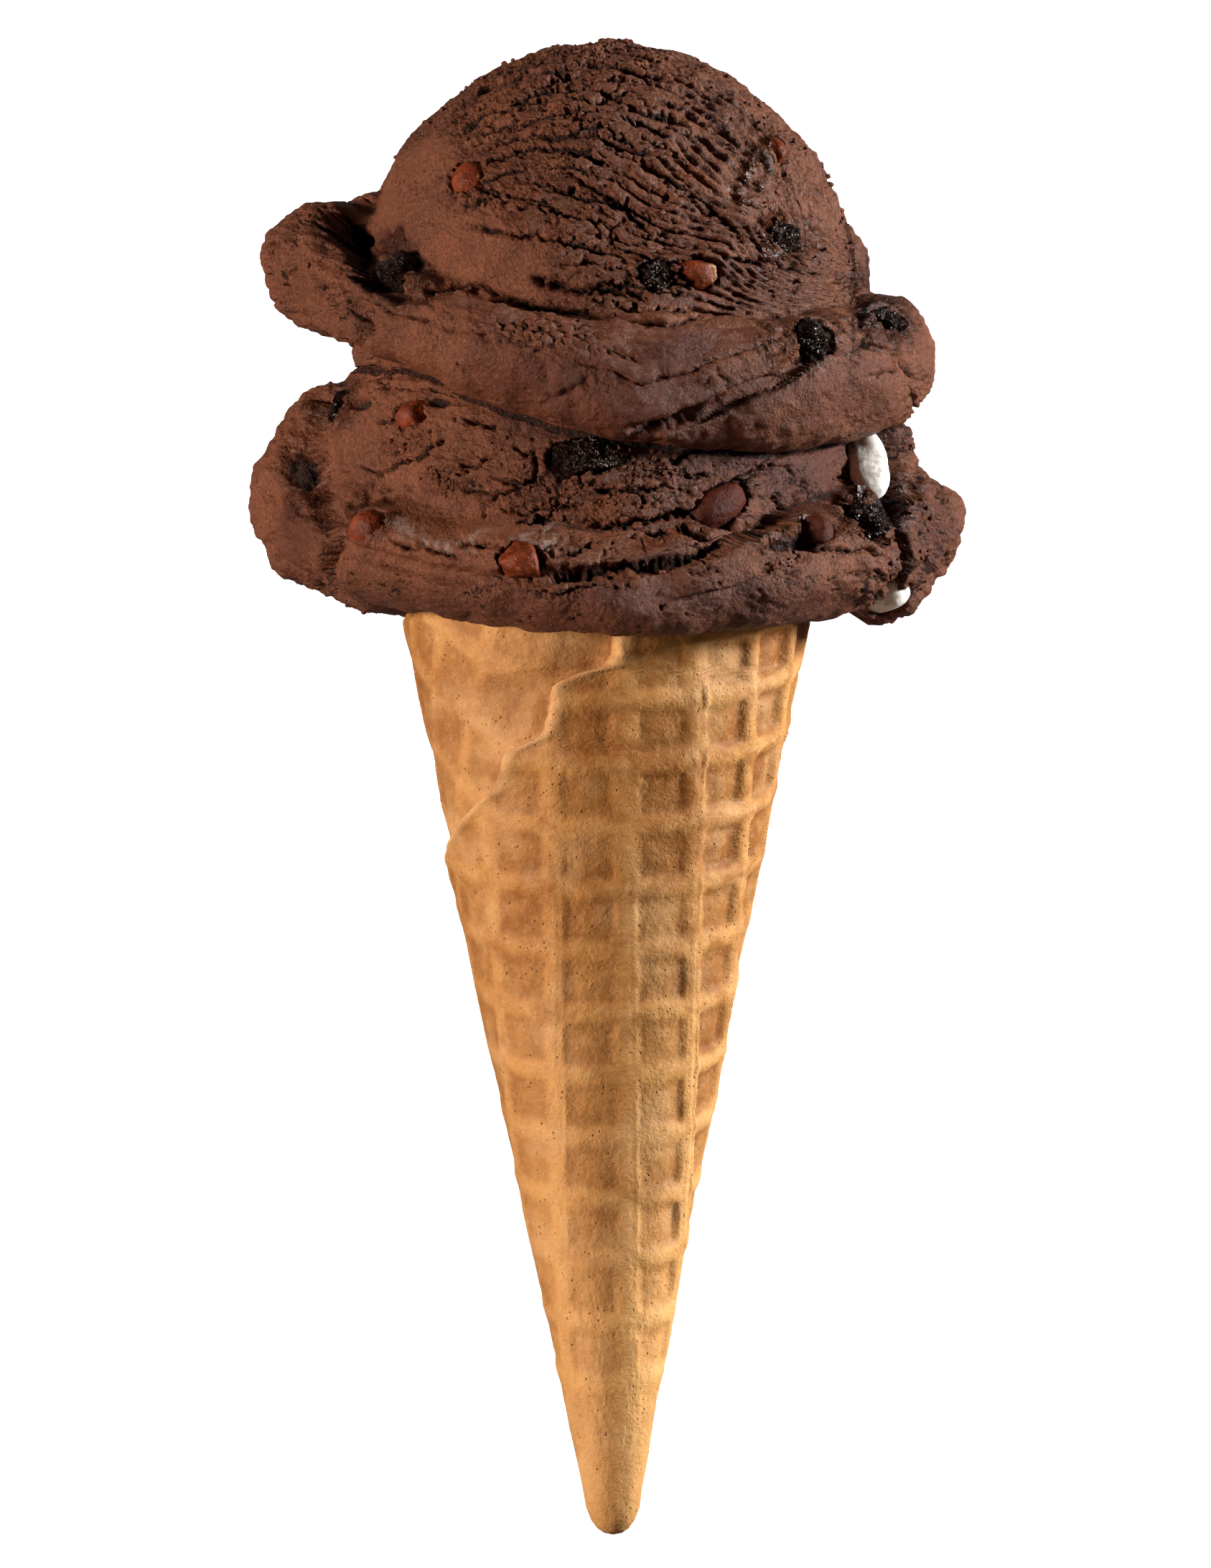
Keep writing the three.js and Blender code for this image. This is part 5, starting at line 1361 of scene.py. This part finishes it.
def marshmallow_paint(cares):
    paint = Paint("marshmallow")
    tone = paint.noise(2.2, 3)
    pale = tuple(cares.marshmallow)
    colour = paint.ramp(tone, (0.32, (0.5, 0.38, 0.3)), (0.46, pale))
    smear = paint.math("MULTIPLY", paint.scale(paint.noise(1.2, 3), 0.58, 0.7), 0.4)
    colour = paint.mix(smear, colour, (0.2, 0.09, 0.055))
    surface = paint.bump(paint.noise(0.4, 3), 0.1, strength=0.5)
    paint.set(Base_Color=colour, Roughness=0.48, Normal=surface, Subsurface_Weight=0.3,
              Subsurface_Radius=(1.0, 0.8, 0.6), Subsurface_Scale=0.0012)
    return paint.material


def floor_paint(cares):
    paint = Paint("studio_floor")
    tone = paint.ramp(paint.noise(60, 2), (0.3, tuple(0.985 * part for part in cares.floor)),
                      (0.7, tuple(cares.floor)))
    paint.set(Base_Color=tone, Roughness=0.9, Emission_Color=tone, Emission_Strength=cares.glow)
    return paint.material


PAINTS = {"chocolate_ice_cream": chocolate_paint, "waffle": waffle_paint, "nut": nut_paint,
          "fudge": fudge_paint, "marshmallow": marshmallow_paint}


def painted(thing, slot, cares):
    material = bpy.data.materials.get(slot + "_finish")
    if material is None:
        material = PAINTS[slot](cares)
        material.name = slot + "_finish"
    thing.data.materials.clear()
    thing.data.materials.append(material)


# ---------------------------------------------------------------- what a user would change

def colour_property(name, description, default):
    return bpy.props.FloatVectorProperty(name=name, description=description, default=default, size=3,
                                         min=0, max=1, subtype="COLOR")


def amount_property(name, description, default):
    return bpy.props.FloatProperty(name=name, description=description, default=default, min=0, max=2.0,
                                   subtype="FACTOR")


def length_property(name, description, default, low, high):
    return bpy.props.FloatProperty(name=name, description=description, default=default, min=low, max=high,
                                   unit="LENGTH")


def power_property(name, description, default):
    return bpy.props.FloatProperty(name=name, description=description, default=default, min=0, max=500,
                                   unit="POWER")


class IceCreamSizes(bpy.types.PropertyGroup):
    """Relief of the ice cream and the cone."""

    tear: amount_property("Torn layers", "Height of the layers torn by the scoop, against the usual", 1.0)
    comb: amount_property("Combed ridges", "Height of the fine ridges on the dome, against the usual", 1.0)
    crack: amount_property("Cracks", "Depth of the cracks and folds, against the usual", 1.0)
    waffle: amount_property("Waffle pattern", "Depth of the cells in the cone, against the usual", 1.0)
    crumbs: bpy.props.IntProperty(name="Crumbs", description="How many loose crumbs lie on the scoops",
                                  default=1100, min=0, max=3000)


class IceCreamColours(bpy.types.PropertyGroup):
    """Colours of every finish."""

    chocolate_pale: colour_property("Pale chocolate", "Ice cream that was smoothed", (0.190, 0.050, 0.017))
    chocolate_dark: colour_property("Dark chocolate", "Ice cream where it was torn", (0.122, 0.031, 0.010))
    # also lightens the torn lips' edges as a painted highlight
    chocolate_dust_and_highlight: colour_property("Dusty chocolate", "Dry grains on the ice cream", (0.300, 0.115, 0.055))
    # also laid as painted shade under and beside the rolls
    syrup_and_shade_colour: colour_property("Syrup", "Patches where syrup shows through", (0.070, 0.014, 0.004))
    waffle_gold: colour_property("Golden waffle", "The palest of the baked cone", (0.540, 0.228, 0.060))
    waffle_brown: colour_property("Brown waffle", "The darker blotches of the cone", (0.350, 0.118, 0.025))
    # also laid as painted shade under the free edge and down the cone's left side
    waffle_toast_and_shade: colour_property("Toasted waffle", "The floors of the cells", (0.200, 0.056, 0.008))
    # also lightens the rib crests and the burr as a painted highlight
    waffle_pale_and_highlight: colour_property("Pale waffle", "Worn crests and the floury skin", (0.700, 0.375, 0.155))
    nut_skin: colour_property("Nut skin", "The nuts", (0.200, 0.034, 0.008))
    fudge: colour_property("Fudge", "The lumps of fudge", (0.009, 0.0018, 0.0008))
    marshmallow: colour_property("Marshmallow", "The marshmallow", (0.940, 0.800, 0.700))
    floor: colour_property("Floor", "The studio floor", (0.900, 0.900, 0.900))


class StudioSettings(bpy.types.PropertyGroup):
    """Camera and lights."""

    distance: length_property("Camera distance", "From the cone's axis to the camera", 2.0, 0.5, 6.0)
    field: length_property("Picture height", "Length of the subject plane that is seen", 0.2053, 0.1, 1.0)
    key: power_property("Key light", "Power of the main soft light", 30.5)
    rim: power_property("Rim light", "Power of the light from the right", 58.0)
    fill: power_property("Fill light", "Power of the weak light from the tip's end", 1.2)
    ambient: amount_property("Ambient", "Strength of the white walls all round", 0.13)
    glow: amount_property("Lit floor", "Strength of the light that the floor gives of its own", 1.0)


# ---------------------------------------------------------------- operators

def cares_of(context):
    """All settings in one place, by name."""
    cares = SimpleNamespace()
    for name in GROUPS:
        group = getattr(context.scene, name)
        for key in group.__annotations__:
            setattr(cares, key, getattr(group, key))
    return cares


def finished(thing, node, slot, cares):
    """A built piece takes a node's place, moves with the part and gets its finish."""
    painted(thing, slot, cares)
    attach(thing, "root")
    if node:
        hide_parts(node)


class BuildScoops(bpy.types.Operator):
    """Build the upper and the lower scoop"""

    bl_idname = "ice_cream.scoops"
    bl_label = "Scoops"

    def execute(self, context):
        cares = cares_of(context)
        for where in ("upper", "lower"):
            points, faces, marks = shape_scoop(where, cares)
            SHAPED[where] = points, marks
            finished(build_mesh(f"{where}_scoop_shaped", points, faces, marks), f"{where}_scoop",
                     "chocolate_ice_cream", cares)
        return {"FINISHED"}


class BuildCone(bpy.types.Operator):
    """Build the rolled waffle cone"""

    bl_idname = "ice_cream.cone"
    bl_label = "Waffle cone"

    def execute(self, context):
        cares = cares_of(context)
        points, faces, marks = shape_cone(cares)
        finished(build_mesh("cone_shaped", points, faces, marks), "cone", "waffle", cares)
        return {"FINISHED"}


class BuildPieces(bpy.types.Operator):
    """Build the nuts, the fudge and the marshmallow"""

    bl_idname = "ice_cream.pieces"
    bl_label = "Nuts, fudge and marshmallow"

    def execute(self, context):
        cares = cares_of(context)
        for index, (name, _, _, size, _, _) in enumerate(PIECES):
            points, faces, marks = shape_piece(name, size, 100 + index)
            centre, turn = PIECE_FRAMES[name]
            points = points @ np.array(turn.to_matrix()).T + np.array(centre)
            finished(build_mesh(f"{name}_shaped", points, faces, marks), name, name.split("_")[0], cares)
        return {"FINISHED"}


class BuildCrumbs(bpy.types.Operator):
    """Scatter loose crumbs over the rough parts of the scoops"""

    bl_idname = "ice_cream.crumbs"
    bl_label = "Crumbs"

    def execute(self, context):
        cares = cares_of(context)
        if not SHAPED:
            raise RuntimeError("build the scoops before the crumbs")
        draw = np.random.default_rng(5)
        way, faces = ball(2)
        points, all_faces, coarse = [], [], []
        for where in ("upper", "lower"):
            p, marks = SHAPED[where]
            noise = Noise(43)
            open_ground = np.clip(1 - marks["cavity"], 0, 1)
            chance = marks["coarse"] ** 3 * rise(-0.1, 0.5, noise.smooth(p / 5)) * open_ground
            chance = chance * (p[:, 2] > -34)
            if where == "lower":
                chance = chance * (upper_field(p) > 0.5) * (p[:, 1] > 22)
            else:
                chance = chance * (lower_field(p) > 1.5)
            count = cares.crumbs // 2
            picked = draw.choice(len(p), count, replace=False, p=chance / chance.sum())
            normal = slope_of(FIELDS[where], p[picked])
            for point, up in zip(p[picked], normal):
                size = SMALLEST_CRUMB + CRUMB_RANGE * draw.random() ** 3
                stretch = 1 + 0.5 * draw.random(3)
                lumpy = way * stretch * (1 + 0.28 * noise.smooth(way * 1.3 + 50 * draw.random(3)))[:, None]
                points.append(lumpy * size + point + up * size * 0.15)
                all_faces.append(faces + len(way) * len(all_faces))
                coarse.append(np.full(len(way), draw.random()))
        marks = {"coarse": np.concatenate(coarse)}
        crumbs = build_mesh("crumbs", np.concatenate(points), np.concatenate(all_faces), marks)
        finished(crumbs, None, "chocolate_ice_cream", cares)
        return {"FINISHED"}


# The stage, in metres: the floor's half width, the point that the lights face, and the picture's centre.
FLOOR_HALF = 3.0
LIT_POINT = (0, 0.03, 0.03)
PICTURE_CENTRE = (-0.0001, 0.0009)
# Place, size and colour of each light.
LIGHTS = {
    "key": ((-1.3, 0.1, 0.66), 0.28, (1.0, 0.975, 0.95)),
    "rim": ((1.4, 0.42, 0.15), 0.3, (0.82, 0.93, 1.0)),
    "fill": ((0.1, -1.0, 0.8), 0.6, (1.0, 0.86, 0.72)),
}


class BuildStage(bpy.types.Operator):
    """Set up the floor, the soft lights and the camera"""

    bl_idname = "ice_cream.stage"
    bl_label = "Studio"

    def execute(self, context):
        cares = cares_of(context)
        scene = context.scene
        floor = bpy.data.meshes.new("floor")
        corners = [(x * FLOOR_HALF, y * FLOOR_HALF, 0) for x, y in ((-1, -1), (1, -1), (1, 1), (-1, 1))]
        floor.from_pydata(corners, [], [(0, 1, 2, 3)])
        floor_object = bpy.data.objects.new("floor", floor)
        scene.collection.objects.link(floor_object)
        floor.materials.append(floor_paint(cares))
        # the floor gives no light back, so the underside stays as dark as over a studio's black table
        floor_object.visible_diffuse = floor_object.visible_glossy = False
        for name, (place, size, colour) in LIGHTS.items():
            self.light(scene, name + "_light", place, size, getattr(cares, name), colour)
        scene.world = self.bright_horizon(cares.ambient)
        scene.view_settings.view_transform = "Standard"
        camera = bpy.data.cameras.new("camera")
        camera.sensor_width = 36.0
        camera.lens = camera.sensor_width * cares.distance / cares.field
        camera.clip_end = 20
        camera_object = bpy.data.objects.new("camera", camera)
        scene.collection.objects.link(camera_object)
        camera_object.location = (*PICTURE_CENTRE, AXIS_HEIGHT * MM + cares.distance)
        scene.camera = camera_object
        return {"FINISHED"}

    @staticmethod
    def bright_horizon(strength):
        """A white studio wall all round under a dark ceiling."""
        world = bpy.data.worlds.new("studio")
        world.use_nodes = True
        tree = world.node_tree
        place = tree.nodes.new("ShaderNodeTexCoord")
        parts = tree.nodes.new("ShaderNodeSeparateXYZ")
        level = tree.nodes.new("ShaderNodeMapRange")
        tree.links.new(place.outputs["Generated"], parts.inputs[0])
        tree.links.new(parts.outputs["Z"], level.inputs["Value"])
        for key, value in (("From Min", 0.1), ("From Max", 0.5), ("To Min", strength),
                           ("To Max", 0.1 * strength)):
            level.inputs[key].default_value = value
        tree.links.new(level.outputs["Result"], tree.nodes["Background"].inputs["Strength"])
        tree.nodes["Background"].inputs["Color"].default_value = (1, 1, 1, 1)
        return world

    @staticmethod
    def light(scene, name, place, size, power, colour):
        lamp = bpy.data.lights.new(name, "AREA")
        lamp.size, lamp.energy, lamp.color = size, power, colour
        lamp_object = bpy.data.objects.new(name, lamp)
        scene.collection.objects.link(lamp_object)
        lamp_object.location = place
        aim = Vector(LIT_POINT) - Vector(place)
        lamp_object.rotation_mode = "QUATERNION"
        lamp_object.rotation_quaternion = aim.to_track_quat("-Z", "Y")


class IceCreamPanel(bpy.types.Panel):
    """Everything that can be built or changed"""

    bl_idname = "VIEW3D_PT_ice_cream"
    bl_label = "Ice Cream Cone"
    bl_space_type = "VIEW_3D"
    bl_region_type = "UI"
    bl_category = "Ice Cream"

    def draw(self, context):
        for name in GROUPS:
            group = getattr(context.scene, name)
            box = self.layout.box()
            for key in group.__annotations__:
                box.prop(group, key)
        for operator in BUILDERS:
            self.layout.operator(operator.bl_idname)


BUILDERS = (BuildStage, BuildScoops, BuildCone, BuildPieces, BuildCrumbs)
CLASSES = (IceCreamSizes, IceCreamColours, StudioSettings, *BUILDERS, IceCreamPanel)
GROUPS = {"ice_cream_sizes": IceCreamSizes, "ice_cream_colours": IceCreamColours,
          "ice_cream_studio": StudioSettings}


def register():
    for item in CLASSES:
        bpy.utils.register_class(item)
    for name, group in GROUPS.items():
        setattr(bpy.types.Scene, name, bpy.props.PointerProperty(type=group))


def unregister():
    for name in GROUPS:
        delattr(bpy.types.Scene, name)
    for item in reversed(CLASSES):
        bpy.utils.unregister_class(item)


def main():
    register()
    bpy.ops.ice_cream.stage()
    bpy.ops.ice_cream.scoops()
    bpy.ops.ice_cream.cone()
    bpy.ops.ice_cream.pieces()
    bpy.ops.ice_cream.crumbs()


if __name__ == "__main__":
    main()
